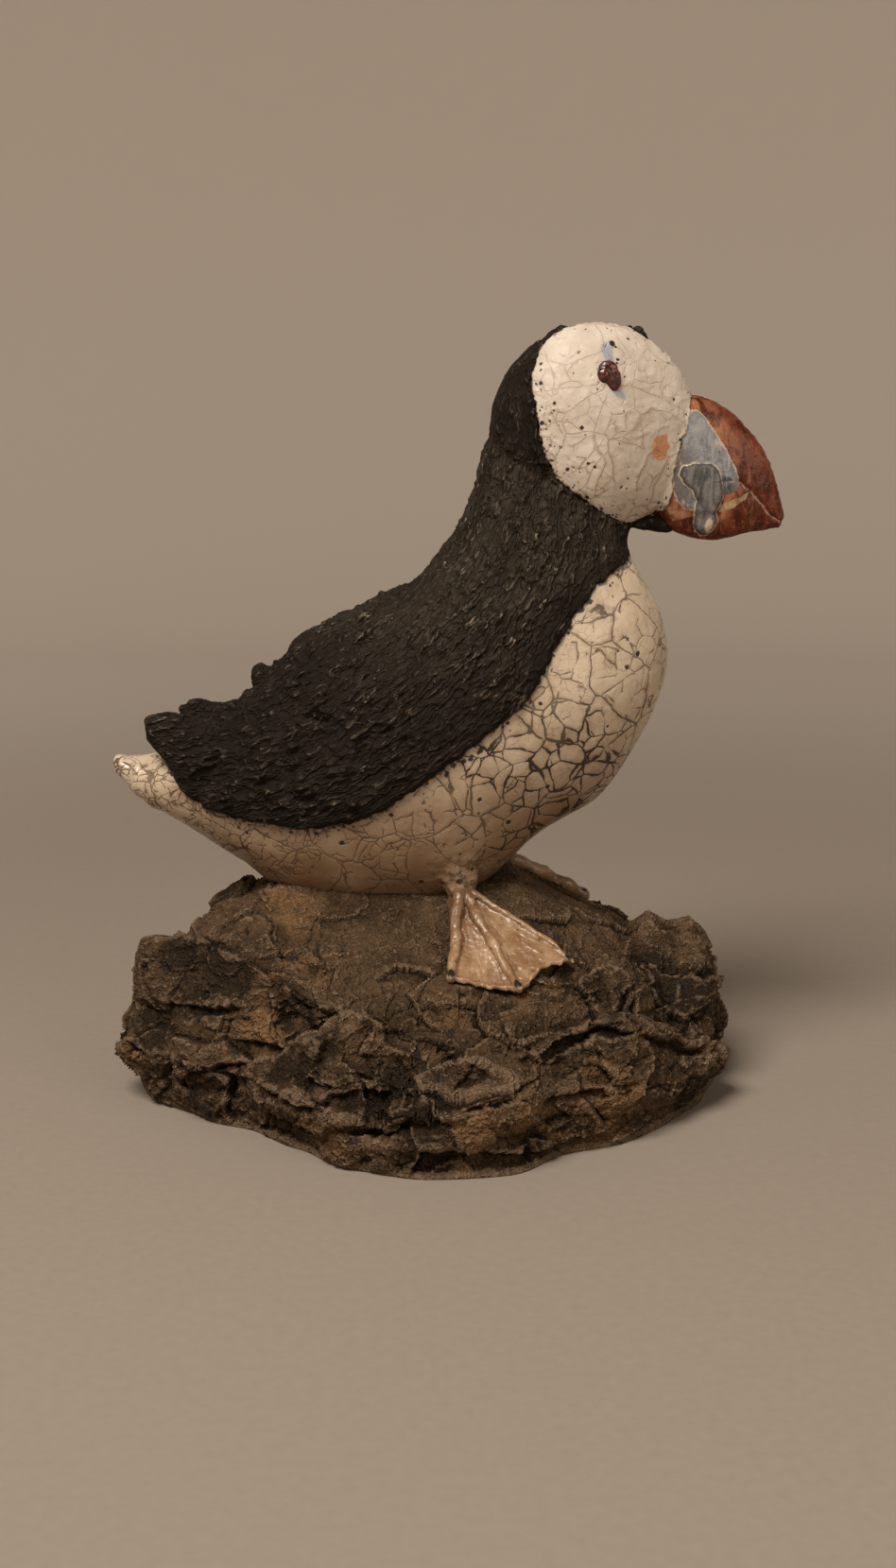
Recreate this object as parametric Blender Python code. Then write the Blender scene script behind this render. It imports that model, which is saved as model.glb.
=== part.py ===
"""A raku-fired puffin standing on a rough clay rock, life size.

Two pieces: the bird, fired in one with its bill, wings and webbed feet, and the rock that it sits on.
Metres, +Z up. The origin is the centre of the rock's flat underside. The bill points along +X,
and the bird's own middle plane is Y = 0.
"""

import math

import bmesh
import bpy
import numpy as np
from mathutils import Vector

# Driving sizes
BIRD_LENGTH = 0.267  # tail tip to bill tip
ROCK_LENGTH = 0.254  # along X, over the widest part
ROCK_DEPTH = 0.222  # along Y, over the widest part
ROCK_HEIGHT = 0.086  # underside to the level that carries the belly
FIGURE_FORWARD = 0.007  # the bird's own zero, forward of the middle of the rock
FIGURE_SINK = 0.002  # the bird's own zero, under the level that carries it
SEAT_GAP = 0.0004  # between the bird and the rock, all over their contact
MANTLE_THICKNESS = 0.0034  # how far the black wings stand off the white flanks
FACE_RAISE = 0.0012  # how far the white face discs stand off the head
TOE_RADIUS = 0.0034
WEB_THICKNESS = 0.0026
LEG_RADIUS = 0.0062
LEG_WIDTHS = (1.9, 0.95, 0.85)  # at the hip, the ankle and the heel, as shares of LEG_RADIUS
EYE_RADIUS = 0.0034

# The figure is drawn in thousandths of its own length, so its shares grow with it.
SHARE = BIRD_LENGTH / 1000
FIGURE_HEIGHT = ROCK_HEIGHT - FIGURE_SINK

# Back X and Z, belly X and Z, half width, from the tail tip to inside the head.
BODY_STATIONS = (
    (-504, 192, -505, 168, 15),
    (-455, 190, -464, 122, 44),
    (-404, 204, -419, 98, 62),
    (-362, 226, -365, 64, 78),
    (-319, 258, -312, 30, 96),
    (-268, 307, -262, -6, 116),
    (-203, 371, -187, -28, 138),
    (-118, 418, -85, -34, 153),
    (-52, 451, 30, -18, 160),
    (-11, 491, 140, 74, 157),
    (11, 519, 232, 135, 150),
    (26, 543, 300, 243, 140),
    (36, 564, 327, 330, 129),
    (42, 582, 316, 404, 118),
    (48, 603, 285, 464, 104),
    (52, 625, 262, 506, 91),
    (60, 655, 266, 545, 80),
    (84, 690, 268, 600, 62),
)
# The wings' lower edge and the border of the black mantle, seen from the side.
MANTLE_BORDER = (
    (268, 484), (233, 442), (206, 410), (182, 392), (150, 318), (122, 275), (73, 220),
    (23, 181), (-34, 145), (-106, 100), (-193, 76), (-323, 83), (-372, 116), (-407, 174),
    (-440, 214), (-460, 300), (-330, 420), (-150, 520), (-60, 640), (40, 700), (262, 590), (300, 568),
)
# Culmen X and Z, lower edge X and Z, half width, from inside the head to the bill's tip.
BILL_STATIONS = (
    (296, 716, 290, 562, 40),
    (350, 722, 322, 533, 37),
    (374, 718, 350, 519, 34),
    (410, 700, 384, 513, 29),
    (437, 674, 414, 516, 25),
    (456, 652, 438, 523, 21),
    (469, 629, 457, 526, 17),
    (481, 597, 474, 529, 13),
    (492, 560, 486, 531, 9),
)
HEAD_MIDDLE_SHARES = (210, 674)
HEAD_RADIUS_SHARE = 148
HEAD_WIDTH_SHARE = 104  # of half the head's width
# Where the head's sides start to close in towards the bill, and how much they close in.
TAPER_START_SHARE = 214
TAPER_REACH_SHARE = 140
HEAD_TAPER = 0.56
HEAD_FULLNESS, CHEEK_FULLNESS = 0.72, 0.9  # powers of sine and cosine: under 1 is fuller than a ball
FACE_BORDER = (
    (169, 813), (139, 794), (122, 760), (118, 733), (126, 693), (133, 652), (143, 625),
    (161, 597), (190, 577), (232, 549), (253, 541), (288, 542), (326, 560), (326, 612),
    (350, 690), (352, 722), (331, 760), (296, 792), (262, 812), (228, 820), (200, 820),
)
EYE_SHARES = (239, 750)
EYE_TALL, EYE_FLAT = 1.35, 0.7  # the eye's height and depth, as shares of EYE_RADIUS
EYE_LEAN = math.radians(-24)
# The wings' rear ends: upper X and Z, lower X and Z, half width, middle Y.
NEAR_WING_TIP = (
    (-449, 254, -446, 240, 5, -54),
    (-438, 259, -440, 218, 16, -55),
    (-406, 257, -416, 188, 24, -58),
    (-366, 246, -386, 140, 32, -60),
    (-310, 246, -330, 120, 32, -52),
    (-250, 262, -270, 160, 24, -40),
)
FAR_WING_TIP = (
    (-411, 252, -411, 238, 7, 84),
    (-400, 262, -405, 224, 19, 84),
    (-375, 260, -388, 196, 25, 80),
    (-316, 262, -335, 140, 32, 62),
    (-250, 275, -270, 170, 24, 44),
)
# Lumps of clay on the back: root and end as X, Y, Z, then root and end radius.
LUMPS = {
    "back_nub": ((-236, -8, 305), (-293, -10, 318), 26, 10),
    "saddle_lump": ((-318, -22, 240), (-340, -22, 270), 30, 15),
}
# Each foot's ankle and three toe ends as X and Y, and the height where its toes leave the leg.
NEAR_FOOT = {"ankle": (18, -98, 6), "toes": ((4, -240), (103, -250), (182, -190))}
FAR_FOOT = {"ankle": (62, 90, 4), "toes": ((84, 262), (180, 226), (226, 134))}
TOE_SIZES = (1.25, 0.95, 0.9)  # thickness of the outer, middle and inner toe, as shares of TOE_RADIUS
TOE_SWELL = 0.13  # how much a toe thickens at its joints
TOE_TILT = math.radians(13)  # turns a toe's facets away from the web's, so that neither lies in the other
HIP_SHARE = 78  # where a leg leaves the belly

# The rock is drawn on a grid of its own, so its crags grow with its length, depth and height.
GRID_ALONG, GRID_ACROSS, GRID_RISE = 254, 222, 86
ALONG_UNIT = ROCK_LENGTH / GRID_ALONG
ACROSS_UNIT = ROCK_DEPTH / GRID_ACROSS
RISE_UNIT = ROCK_HEIGHT / GRID_RISE
TOP_FROM, TOP_TO, TOP_ASIDE = -60, 33, 16  # the level top's ends and half its breadth
FALL_ALONG, FALL_ACROSS = 0.50, 0.62  # slopes off the level top, lengthways and to the sides
SOFTNESS = 9  # rounding where the level top turns into the slopes
CREST_BLUNT = 1.5  # half the width of a crest's flat top
SIDE_BULGE = 1.6  # how far the side swells out under the rim
SWELL = 1.1  # height of the slow lumps on the slopes
SWELL_FROM, SWELL_TO = 30, 60  # where they set in, going outwards
# Going round from the left end past the front, every 15 degrees: radius of the foot, radius of the rim
# over it, and height of the rim.
RIM = (
    (118, 127, 25), (114, 129, 24), (102, 113, 24), (93, 99, 25), (96, 103, 24), (106, 110, 21),
    (111, 113, 26), (111, 110, 30), (101, 104, 27), (106, 110, 23), (108, 114, 19), (113, 118, 21),
    (117, 124, 25), (118, 124, 27), (112, 117, 27), (105, 111, 25), (101, 107, 27), (103, 106, 28),
    (105, 109, 26), (102, 108, 24), (101, 107, 26), (105, 112, 28), (111, 118, 26), (117, 124, 24),
)
# Crests: points of a line as X, Y and height, then the slope of the near face and of the far face.
CRESTS = (
    (((-119, -26, 60), (-108, -29, 68), (-95, -33, 69), (-78, -46, 66), (-60, -58, 59)), 2.2, 0.45),
    (((-120, -28, 60), (-122, -44, 44)), 2.0, 2.0),
    (((-100, -60, 44), (-88, -65, 47), (-76, -66, 45)), 1.8, 0.2),
    (((83, 2, 66), (89, 1, 70), (97, 3, 66), (106, 2, 69), (112, 3, 62)), 1.1, 2.0),
    (((111, 1, 63), (114, -20, 52), (117, -40, 37)), 2.5, 0.9),
    (((36, -90, 34), (47, -78, 44), (62, -72, 48), (80, -71, 44), (99, -74, 35)), 3.5, 0.3),
    (((-34, -84, 45), (-20, -78, 51), (-6, -84, 46)), 2.2, 0.3),
    (((-44, 58, 60), (-20, 66, 57), (8, 62, 58)), 0.5, 1.1),
    (((96, 40, 46), (80, 62, 46), (60, 78, 40)), 0.6, 1.5),
)
# Hollows: X, Y, direction in degrees, half length, width of the far and of the near side, depth.
HOLLOWS = (
    (-94, -50, -28, 26, 8, 14, 18),
    (-56, -80, -72, 16, 5, 6, 8),
    (68, -80, 4, 25, 5, 13, 13),
    (-20, -90, 4, 15, 5, 9, 6),
    (92, -18, 20, 15, 10, 14, 8),
    (20, -92, 20, 12, 6, 8, 5),
    (52, 74, -20, 20, 8, 12, 6),
    (-70, 62, 30, 22, 10, 14, 6),
)
# Clefts in the side: angle in degrees, share of the rim's height, their half widths, depth.
CLEFTS = (
    (-96, 0.74, 9, 0.15, 8),
    (-150, 0.62, 14, 0.16, 5),
    (-118, 0.50, 9, 0.14, 4),
    (-66, 0.45, 10, 0.18, 3),
    (-12, 0.55, 10, 0.20, 5),
    (70, 0.55, 16, 0.20, 4),
    (150, 0.60, 16, 0.20, 4),
)

# Mesh fineness
BODY_ROWS = 25
BODY_SIDES = 26
BILL_ROWS = 10
BILL_SIDES = 16
WING_TIP_ROWS = 7
WING_TIP_SIDES = 12
WEB_SPOKES = 3
WEB_STEPS = 6
HEAD_ROWS = 12
HEAD_SIDES = 28
ROCK_SIDES = 88
ROCK_TOP_RINGS = (0.20, 0.33, 0.44, 0.52, 0.59, 0.66, 0.72, 0.78, 0.84, 0.90, 0.95, 1.0)
ROCK_SIDE_STEPS = (0.16, 0.36, 0.58, 0.80, 1.0)

COLOURS = {
    "puffin": ((0.50, 0.42, 0.33), 0.35),
    "rock": ((0.09, 0.06, 0.045), 0.85),
}


def clear_scene():
    for item in list(bpy.data.objects):
        bpy.data.objects.remove(item)


def new_collection(name):
    collection = bpy.data.collections.new(name)
    bpy.context.scene.collection.children.link(collection)
    return collection


def new_object(name, mesh, collection):
    item = bpy.data.objects.new(name, mesh)
    collection.objects.link(item)
    return item


def as_tool(item):
    """A cutter, or a shape that a union takes in: it is no piece of its own."""
    item.hide_render = True
    item.display_type = "WIRE"
    return item


def combine(target, tool, operation):
    modifier = target.modifiers.new(f"{operation} {tool.name}", "BOOLEAN")
    modifier.operation = operation
    modifier.object = tool


def smooth_rows(stations, count):
    """A Catmull-Rom curve through rows of numbers, each row one station, read at count places."""
    rows = np.array(stations, float)
    padded = np.vstack([2 * rows[0] - rows[1], rows, 2 * rows[-1] - rows[-2]])
    place = np.linspace(0, len(rows) - 1, count)
    start = np.minimum(place.astype(int), len(rows) - 2)
    t = (place - start)[:, None]
    a, b, c, d = (padded[start + shift] for shift in range(4))
    return 0.5 * (2 * b + (c - a) * t + (2 * a - 5 * b + 4 * c - d) * t**2 + (3 * b - a - 3 * c + d) * t**3)


def ring_mesh(name, rings):
    """A closed skin over an array of rings, rows by sides by XYZ, with a flat cap on each end."""
    row_count, side_count, _ = rings.shape
    shell = bmesh.new()
    points = [[shell.verts.new(p) for p in row] for row in rings]
    for row in range(row_count - 1):
        for side in range(side_count):
            after = (side + 1) % side_count
            shell.faces.new((points[row][side], points[row][after], points[row + 1][after], points[row + 1][side]))
    shell.faces.new(reversed(points[0]))
    shell.faces.new(points[-1])
    bmesh.ops.triangulate(shell, faces=shell.faces)
    return finished_mesh(name, shell)


def finished_mesh(name, shell):
    """Faces turned outwards and shaded smooth, except across sharp edges."""
    bmesh.ops.remove_doubles(shell, verts=shell.verts, dist=1e-6)
    bmesh.ops.recalc_face_normals(shell, faces=shell.faces)
    mesh = bpy.data.meshes.new(name)
    shell.to_mesh(mesh)
    shell.free()
    mesh.shade_smooth()
    mesh.set_sharp_from_angle(angle=math.radians(50))
    return mesh


def figure_point(x, y, z):
    """A point of the figure, from thousandths of its length to metres."""
    return Vector((FIGURE_FORWARD + x * SHARE, y * SHARE, FIGURE_HEIGHT + z * SHARE))


def lens_rings(stations, rows, sides, fullness, extra=0.0):
    """Rings from upper to lower edge of each station: half width times sine to the power of fullness.

    A sixth number in a station moves the middle of its ring to that Y. The extra is a layer of clay
    over the shape, thick at the sides and thin at the edges: one number, or one for each row.
    """
    table = smooth_rows(stations, rows)
    turn = np.linspace(0, 2 * math.pi, sides, endpoint=False)
    upper, lower = table[:, 0:2] * SHARE, table[:, 2:4] * SHARE
    middle, half = (upper + lower) / 2, (upper - lower) / 2
    half = half * (1 + 0.3 * extra / np.linalg.norm(half, axis=1, keepdims=True))
    across = np.sign(np.sin(turn)) * np.abs(np.sin(turn)) ** fullness
    x = FIGURE_FORWARD + middle[:, 0:1] + half[:, 0:1] * np.cos(turn)
    z = FIGURE_HEIGHT + middle[:, 1:2] + half[:, 1:2] * np.cos(turn)
    y = (table[:, 4:5] * SHARE + extra) * across
    if table.shape[1] > 5:
        y = y + table[:, 5:6] * SHARE
    return np.stack([x, y, z], axis=2)


def side_prism(name, border, collection):
    """A flat outline in the XZ plane, filled and made thick along Y, as a tool for Booleans."""
    curve = bpy.data.curves.new(name, "CURVE")
    curve.dimensions = "2D"
    curve.fill_mode = "BOTH"
    curve.extrude = BIRD_LENGTH
    spline = curve.splines.new("POLY")
    spline.points.add(len(border) - 1)
    for point, (x, z) in zip(spline.points, border):
        point.co = (x * SHARE, z * SHARE, 0, 1)
    spline.use_cyclic_u = True
    item = new_object(name, curve, collection)
    item.rotation_euler.x = math.radians(90)
    item.location = (FIGURE_FORWARD, 0, FIGURE_HEIGHT)
    return as_mesh(item, collection)


def as_mesh(item, collection):
    """The same object with a closed mesh in place of its curve."""
    bpy.context.view_layer.update()
    evaluated = item.evaluated_get(bpy.context.evaluated_depsgraph_get())
    shell = bmesh.new()
    shell.from_mesh(bpy.data.meshes.new_from_object(evaluated))
    made = new_object(item.name + "_solid", finished_mesh(item.name, shell), collection)
    made.matrix_world = item.matrix_world.copy()
    bpy.data.objects.remove(item)
    return made


def head_mesh(extra=0.0):
    """A ball squeezed flat at the cheeks, whose sides close in towards the bill."""
    meridian = np.linspace(0, math.pi, HEAD_ROWS)[1:-1, None]
    turn = np.linspace(0, 2 * math.pi, HEAD_SIDES, endpoint=False)[None, :]
    reach = (HEAD_RADIUS_SHARE * SHARE + extra) * np.sin(meridian) ** HEAD_FULLNESS
    x = HEAD_MIDDLE_SHARES[0] * SHARE + reach * np.cos(turn)
    z = FIGURE_HEIGHT + HEAD_MIDDLE_SHARES[1] * SHARE + reach * np.sin(turn)
    side = -np.cos(meridian)
    flat = np.sign(side) * np.abs(side) ** CHEEK_FULLNESS
    taper = 1 - HEAD_TAPER * np.clip((x / SHARE - TAPER_START_SHARE) / TAPER_REACH_SHARE, 0, 1)
    y = (HEAD_WIDTH_SHARE * SHARE + extra) * flat * taper
    return ring_mesh("head", np.stack([FIGURE_FORWARD + x, y, z], axis=2))


def tapered_lump(name, root, end, root_radius, end_radius, collection):
    """A rounded horn of clay from root to end, as a curve with a bevel."""
    curve = bpy.data.curves.new(name, "CURVE")
    curve.dimensions = "3D"
    curve.bevel_depth = SHARE
    curve.bevel_resolution = 2
    curve.use_fill_caps = True
    spline = curve.splines.new("POLY")
    shares = (0.0, 0.35, 0.7, 0.9, 1.0)
    spline.points.add(len(shares) - 1)
    for point, share in zip(spline.points, shares):
        place = figure_point(*root).lerp(figure_point(*end), share)
        point.co = (*place, 1)
        rounding = 1.0 if share < 1.0 else 0.55
        point.radius = (root_radius + (end_radius - root_radius) * share) * rounding
    return as_mesh(new_object(name, curve, collection), collection)


def soft_excess(value, limit):
    """How far value is past limit, rounded off near it."""
    over = value - limit
    return 0.5 * (over + np.sqrt(over**2 + SOFTNESS**2)) - 0.5 * SOFTNESS * np.exp(-((over / SOFTNESS) ** 2))


def smooth_step(value, start, end):
    share = np.clip((value - start) / (end - start), 0, 1)
    return share * share * (3 - 2 * share)


def crest_surface(x, y, points, near_slope, far_slope):
    """Two slopes that meet in a blunt line: the line's height less a slope times the distance from it."""
    highest = np.full(np.shape(x), -1000.0)
    for (x0, y0, z0), (x1, y1, z1) in zip(points, points[1:]):
        run_x, run_y = x1 - x0, y1 - y0
        share = np.clip(((x - x0) * run_x + (y - y0) * run_y) / (run_x**2 + run_y**2), 0, 1)
        away = np.hypot(x - x0 - share * run_x, y - y0 - share * run_y)
        near = (x - x0) * run_y - (y - y0) * run_x > 0
        slope = np.where(near, near_slope, far_slope)
        highest = np.maximum(highest, z0 + (z1 - z0) * share - slope * np.maximum(away - CREST_BLUNT, 0))
    return highest


def hollow_depth(x, y, place_x, place_y, turn, half_length, far_width, near_width, depth):
    """A dent along a line, each side with its own width."""
    angle = math.radians(turn)
    along = (x - place_x) * math.cos(angle) + (y - place_y) * math.sin(angle)
    across = (y - place_y) * math.cos(angle) - (x - place_x) * math.sin(angle)
    width = np.where(across > 0, far_width, near_width)
    return depth * np.exp(-((along / half_length) ** 4) - (across / width) ** 2)


def rim_at(turn):
    """Radius of the foot, radius of the rim and height of the rim in each direction."""
    table = np.array(RIM + RIM[:1] * 2, float)
    place = (turn + math.pi) % math.tau / math.tau * len(RIM)
    start = place.astype(int)
    share = (place - start)[..., None]
    blend = share * share * (3 - 2 * share)
    ring = table[start] * (1 - blend) + table[start + 1] * blend
    return ring[..., 0], ring[..., 1], ring[..., 2]


def rock_top(world_x, world_y):
    """Height of the rock's upper surface over a point of the plan."""
    x, y = np.asarray(world_x) / ALONG_UNIT, np.asarray(world_y) / ACROSS_UNIT
    _, rim_radius, rim_height = rim_at(np.arctan2(y, x))
    outwards = np.hypot(x, y) / rim_radius
    along = FALL_ALONG * (soft_excess(-x, -TOP_FROM) + soft_excess(x, TOP_TO))
    across = FALL_ACROSS * (soft_excess(-y, TOP_ASIDE) + soft_excess(y, TOP_ASIDE))
    height = GRID_RISE - np.hypot(along, across)
    height = height + (rim_height - height) * smooth_step(outwards, 0.74, 1.0)
    for hollow in HOLLOWS:
        height = height - hollow_depth(x, y, *hollow)
    for crest in CRESTS:
        height = np.maximum(height, crest_surface(x, y, *crest))
    lumps = SWELL * np.sin(0.16 * x + 0.05 * y) * np.cos(0.13 * y - 0.06 * x)
    height = height + lumps * smooth_step(np.hypot(x / 1.6, y), SWELL_FROM, SWELL_TO)
    height = height + (rim_height - height) * smooth_step(outwards, 0.91, 1.0)
    return RISE_UNIT * height


def rock_mesh(offset=0.0):
    """Rings over the top, out over the rim, and down the undercut side to the flat underside."""
    turn = np.linspace(-math.pi, math.pi, ROCK_SIDES, endpoint=False)
    foot, rim, rim_height = rim_at(turn)
    rings = []
    for share in ROCK_TOP_RINGS:
        x = rim * share * np.cos(turn) * ALONG_UNIT
        y = rim * share * np.sin(turn) * ACROSS_UNIT
        rings.append((x, y, rock_top(x, y) + offset))
    for step in ROCK_SIDE_STEPS:
        radius = rim + (foot - rim) * step + SIDE_BULGE * math.sin(math.pi * min(1, step * 1.6))
        for angle, share, wide, high, depth in CLEFTS:
            aside = (np.degrees(turn) - angle + 180) % 360 - 180
            radius = radius - depth * np.exp(-((aside / wide) ** 2) - ((1 - step - share) / high) ** 2)
        x = (radius * ALONG_UNIT + offset) * np.cos(turn)
        y = (radius * ACROSS_UNIT + offset) * np.sin(turn)
        rings.append((x, y, rim_height * (1 - step) * RISE_UNIT))
    return ring_mesh("rock", np.stack([np.stack(ring, axis=1) for ring in rings]))


def foot_place(foot, end, reach, lift):
    """A point of the foot, some of the way from the ankle to an end: it leaves the leg above the rock."""
    ankle_x, ankle_y, ankle_z = foot["ankle"]
    x = FIGURE_FORWARD + (ankle_x + (end[0] - ankle_x) * reach) * SHARE
    y = (ankle_y + (end[1] - ankle_y) * reach) * SHARE
    start = figure_point(ankle_x, ankle_y, ankle_z)
    clearance = max(0.0, start.z - float(rock_top(start.x, start.y)))
    return x, y, float(rock_top(x, y)) + clearance * (1 - reach) ** 1.5 + lift


def toe_solid(name, foot, end, size, collection):
    """A toe lying on the rock, thinner between its joints."""
    curve = bpy.data.curves.new(name, "CURVE")
    curve.dimensions = "3D"
    curve.bevel_depth = TOE_RADIUS * size
    curve.bevel_resolution = 1
    curve.use_fill_caps = True
    spline = curve.splines.new("POLY")
    shares = (0.03, 0.2, 0.36, 0.52, 0.68, 0.84, 0.96, 1.0)
    spline.points.add(len(shares) - 1)
    for point, share in zip(spline.points, shares):
        point.co = (*foot_place(foot, end, share, TOE_RADIUS * size * 0.5), 1)
        point.radius = (1 + TOE_SWELL * math.cos(6 * math.pi * share)) * (1.0 if share < 1 else 0.6)
        point.tilt = TOE_TILT
    return as_mesh(new_object(name, curve, collection), collection)


def web_solid(name, foot, collection):
    """The skin between the toes: rows from the ankle to a scalloped front edge, of even thickness."""
    ends = foot["toes"]
    rows = []
    for place in np.linspace(0, 2, 2 * WEB_SPOKES + 1):
        pair = min(int(place), 1)
        share = place - pair
        between = math.sin(math.pi * share)
        end = [ends[pair][axis] + (ends[pair + 1][axis] - ends[pair][axis]) * share for axis in (0, 1)]
        reaches = np.linspace(0.10, 0.98 * (1 - 0.07 * between), WEB_STEPS)
        lift = WEB_THICKNESS * (1.25 - 0.35 * between)
        upper = [foot_place(foot, end, reach, lift) for reach in reaches]
        lower = [(x, y, z - WEB_THICKNESS) for x, y, z in upper]
        rows.append(upper + lower[::-1])
    return new_object(name, ring_mesh(name, np.array(rows)), collection)


def leg_solid(name, foot, collection):
    """A short stump from inside the belly down to the rock, under the root of the toes."""
    x, y, z = foot["ankle"]
    hip = figure_point(x - 2, y * 0.66, HIP_SHARE)
    ankle = figure_point(x, y, z)
    heel = Vector((ankle.x, ankle.y * 0.94, float(rock_top(ankle.x, ankle.y)) - 0.001))
    curve = bpy.data.curves.new(name, "CURVE")
    curve.dimensions = "3D"
    curve.bevel_depth = LEG_RADIUS
    curve.bevel_resolution = 2
    curve.use_fill_caps = True
    spline = curve.splines.new("POLY")
    spline.points.add(2)
    for point, place, width in zip(spline.points, (hip, ankle, heel), LEG_WIDTHS):
        point.co = (*place, 1)
        point.radius = width
    return as_mesh(new_object(name, curve, collection), collection)


def eye_solid(name, side, collection):
    shell = bmesh.new()
    bmesh.ops.create_uvsphere(shell, u_segments=10, v_segments=6, radius=EYE_RADIUS)
    for vertex in shell.verts:
        vertex.co.z *= EYE_TALL
        vertex.co.y *= EYE_FLAT
    item = new_object(name, finished_mesh(name, shell), collection)
    taper = 1 - HEAD_TAPER * max(0, EYE_SHARES[0] - TAPER_START_SHARE) / TAPER_REACH_SHARE
    place = figure_point(EYE_SHARES[0], side * HEAD_WIDTH_SHARE * taper * 0.90, EYE_SHARES[1])
    item.location = place + Vector((0, side * FACE_RAISE, 0))
    item.rotation_euler.y = EYE_LEAN
    return item


def build_puffin(pieces, tools):
    """The bird: body, mantle, head, discs, bill, tufts and feet in one, cut to sit on the rock."""
    puffin = new_object("puffin", ring_mesh("puffin", lens_rings(BODY_STATIONS, BODY_ROWS, BODY_SIDES, 0.9)), pieces)

    thinning = smooth_step(np.linspace(0, 1, BODY_ROWS), 0.68, 0.92)[:, None]
    wide_body = lens_rings(BODY_STATIONS, BODY_ROWS, BODY_SIDES, 0.9, MANTLE_THICKNESS * (1 - 0.85 * thinning))
    mantle = as_tool(new_object("mantle", ring_mesh("mantle", wide_body), tools))
    combine(mantle, as_tool(side_prism("mantle_outline", MANTLE_BORDER, tools)), "INTERSECT")

    head = as_tool(new_object("head", head_mesh(), tools))
    face = as_tool(new_object("face_discs", head_mesh(FACE_RAISE), tools))
    combine(face, as_tool(side_prism("face_outline", FACE_BORDER, tools)), "INTERSECT")

    bill = as_tool(new_object("bill", ring_mesh("bill", lens_rings(BILL_STATIONS, BILL_ROWS, BILL_SIDES, 0.8)), tools))

    joined = [mantle, head, face, bill]
    for name, stations in (("near_wing_tip", NEAR_WING_TIP), ("far_wing_tip", FAR_WING_TIP)):
        rings = lens_rings(stations, WING_TIP_ROWS, WING_TIP_SIDES, 0.6)
        joined.append(as_tool(new_object(name, ring_mesh(name, rings), tools)))
    joined += [as_tool(tapered_lump(name, *shape, tools)) for name, shape in LUMPS.items()]
    joined += [as_tool(eye_solid(f"eye_{side:+d}", side, tools)) for side in (-1, 1)]
    for label, foot in (("near", NEAR_FOOT), ("far", FAR_FOOT)):
        joined.append(as_tool(leg_solid(f"{label}_leg", foot, tools)))
        for number, (end, size) in enumerate(zip(foot["toes"], TOE_SIZES)):
            joined.append(as_tool(toe_solid(f"{label}_toe_{number}", foot, end, size, tools)))
        joined.append(as_tool(web_solid(f"{label}_web", foot, tools)))
    for item in joined:
        combine(puffin, item, "UNION")

    seat = as_tool(new_object("seat_cutter", rock_mesh(SEAT_GAP), tools))
    combine(puffin, seat, "DIFFERENCE")
    return puffin


def add_material(item):
    colour, roughness = COLOURS[item.name]
    material = bpy.data.materials.new(item.name)
    material.use_nodes = True
    shader = material.node_tree.nodes["Principled BSDF"]
    shader.inputs["Base Color"].default_value = (*colour, 1)
    shader.inputs["Roughness"].default_value = roughness
    shader.inputs["Metallic"].default_value = 0.0
    item.data.materials.append(material)


def main():
    clear_scene()
    pieces = new_collection("raku puffin on a rock")
    tools = new_collection("tools")
    rock = new_object("rock", rock_mesh(), pieces)
    puffin = build_puffin(pieces, tools)
    for item in (rock, puffin):
        add_material(item)


main()
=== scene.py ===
# %% [markdown]
# # A raku-fired puffin on a rough clay rock
#
# The real object is fired clay, and each part of it got its own finish. The belly, tail and faces
# carry a white glaze that crackled as it cooled, and smoke settled in the cracks. The back, wings and
# hood are bare clay that smoke turned black. The bill has iron-red and grey-blue glazes, the feet a
# thin tan one, and the rock is dark stoneware with rust in its folds.
#
# This script builds each of them as a surface worked out with numpy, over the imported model, and
# gives it a material made of shader nodes.

import math

import bpy
import numpy as np
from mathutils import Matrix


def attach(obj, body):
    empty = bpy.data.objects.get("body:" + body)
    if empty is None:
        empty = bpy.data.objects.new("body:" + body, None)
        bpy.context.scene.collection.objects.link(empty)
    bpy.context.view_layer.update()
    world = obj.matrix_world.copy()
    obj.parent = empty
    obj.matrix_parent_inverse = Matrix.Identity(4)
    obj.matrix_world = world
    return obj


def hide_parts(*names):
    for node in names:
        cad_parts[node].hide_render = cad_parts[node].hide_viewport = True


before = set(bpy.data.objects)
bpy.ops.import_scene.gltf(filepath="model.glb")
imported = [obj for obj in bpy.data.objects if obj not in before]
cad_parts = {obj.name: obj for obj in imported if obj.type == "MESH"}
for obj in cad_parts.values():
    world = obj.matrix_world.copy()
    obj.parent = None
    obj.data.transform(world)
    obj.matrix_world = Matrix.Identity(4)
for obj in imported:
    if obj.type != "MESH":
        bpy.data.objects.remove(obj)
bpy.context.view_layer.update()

# %% [markdown]
# ## Camera
#
# The photograph was taken from arm's length and about as high as the bird's bill, with the lens turned
# 10.5 degrees down. A camera is an object that looks along its own -Z, so a
# turn about X by 90 degrees would look level, and 79.5 looks a little down.

# %% Camera
LENS_MM = 40.32
CAMERA_PLACE = (0.007, -0.70, 0.2526)
TILT_DOWN = 10.5
camera_data = bpy.data.cameras.new("camera")
camera_data.lens = LENS_MM
camera_data.sensor_width = 36
camera_data.clip_start = 0.02
camera = bpy.data.objects.new("camera", camera_data)
camera.location = CAMERA_PLACE
camera.rotation_euler = (math.radians(90 - TILT_DOWN), 0, 0)
bpy.context.scene.collection.objects.link(camera)
bpy.context.scene.camera = camera

# %% [markdown]
# ## Sizes that the looks share with the model
#
# The figure is drawn in thousandths of its own length. The same tables as in the model give the
# same forms here, only with many more points.

# %% Shared sizes
BIRD_LENGTH = 0.267
SHARE = BIRD_LENGTH / 1000
FORWARD, HEIGHT = 0.007, 0.084
MM = 0.001
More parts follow.
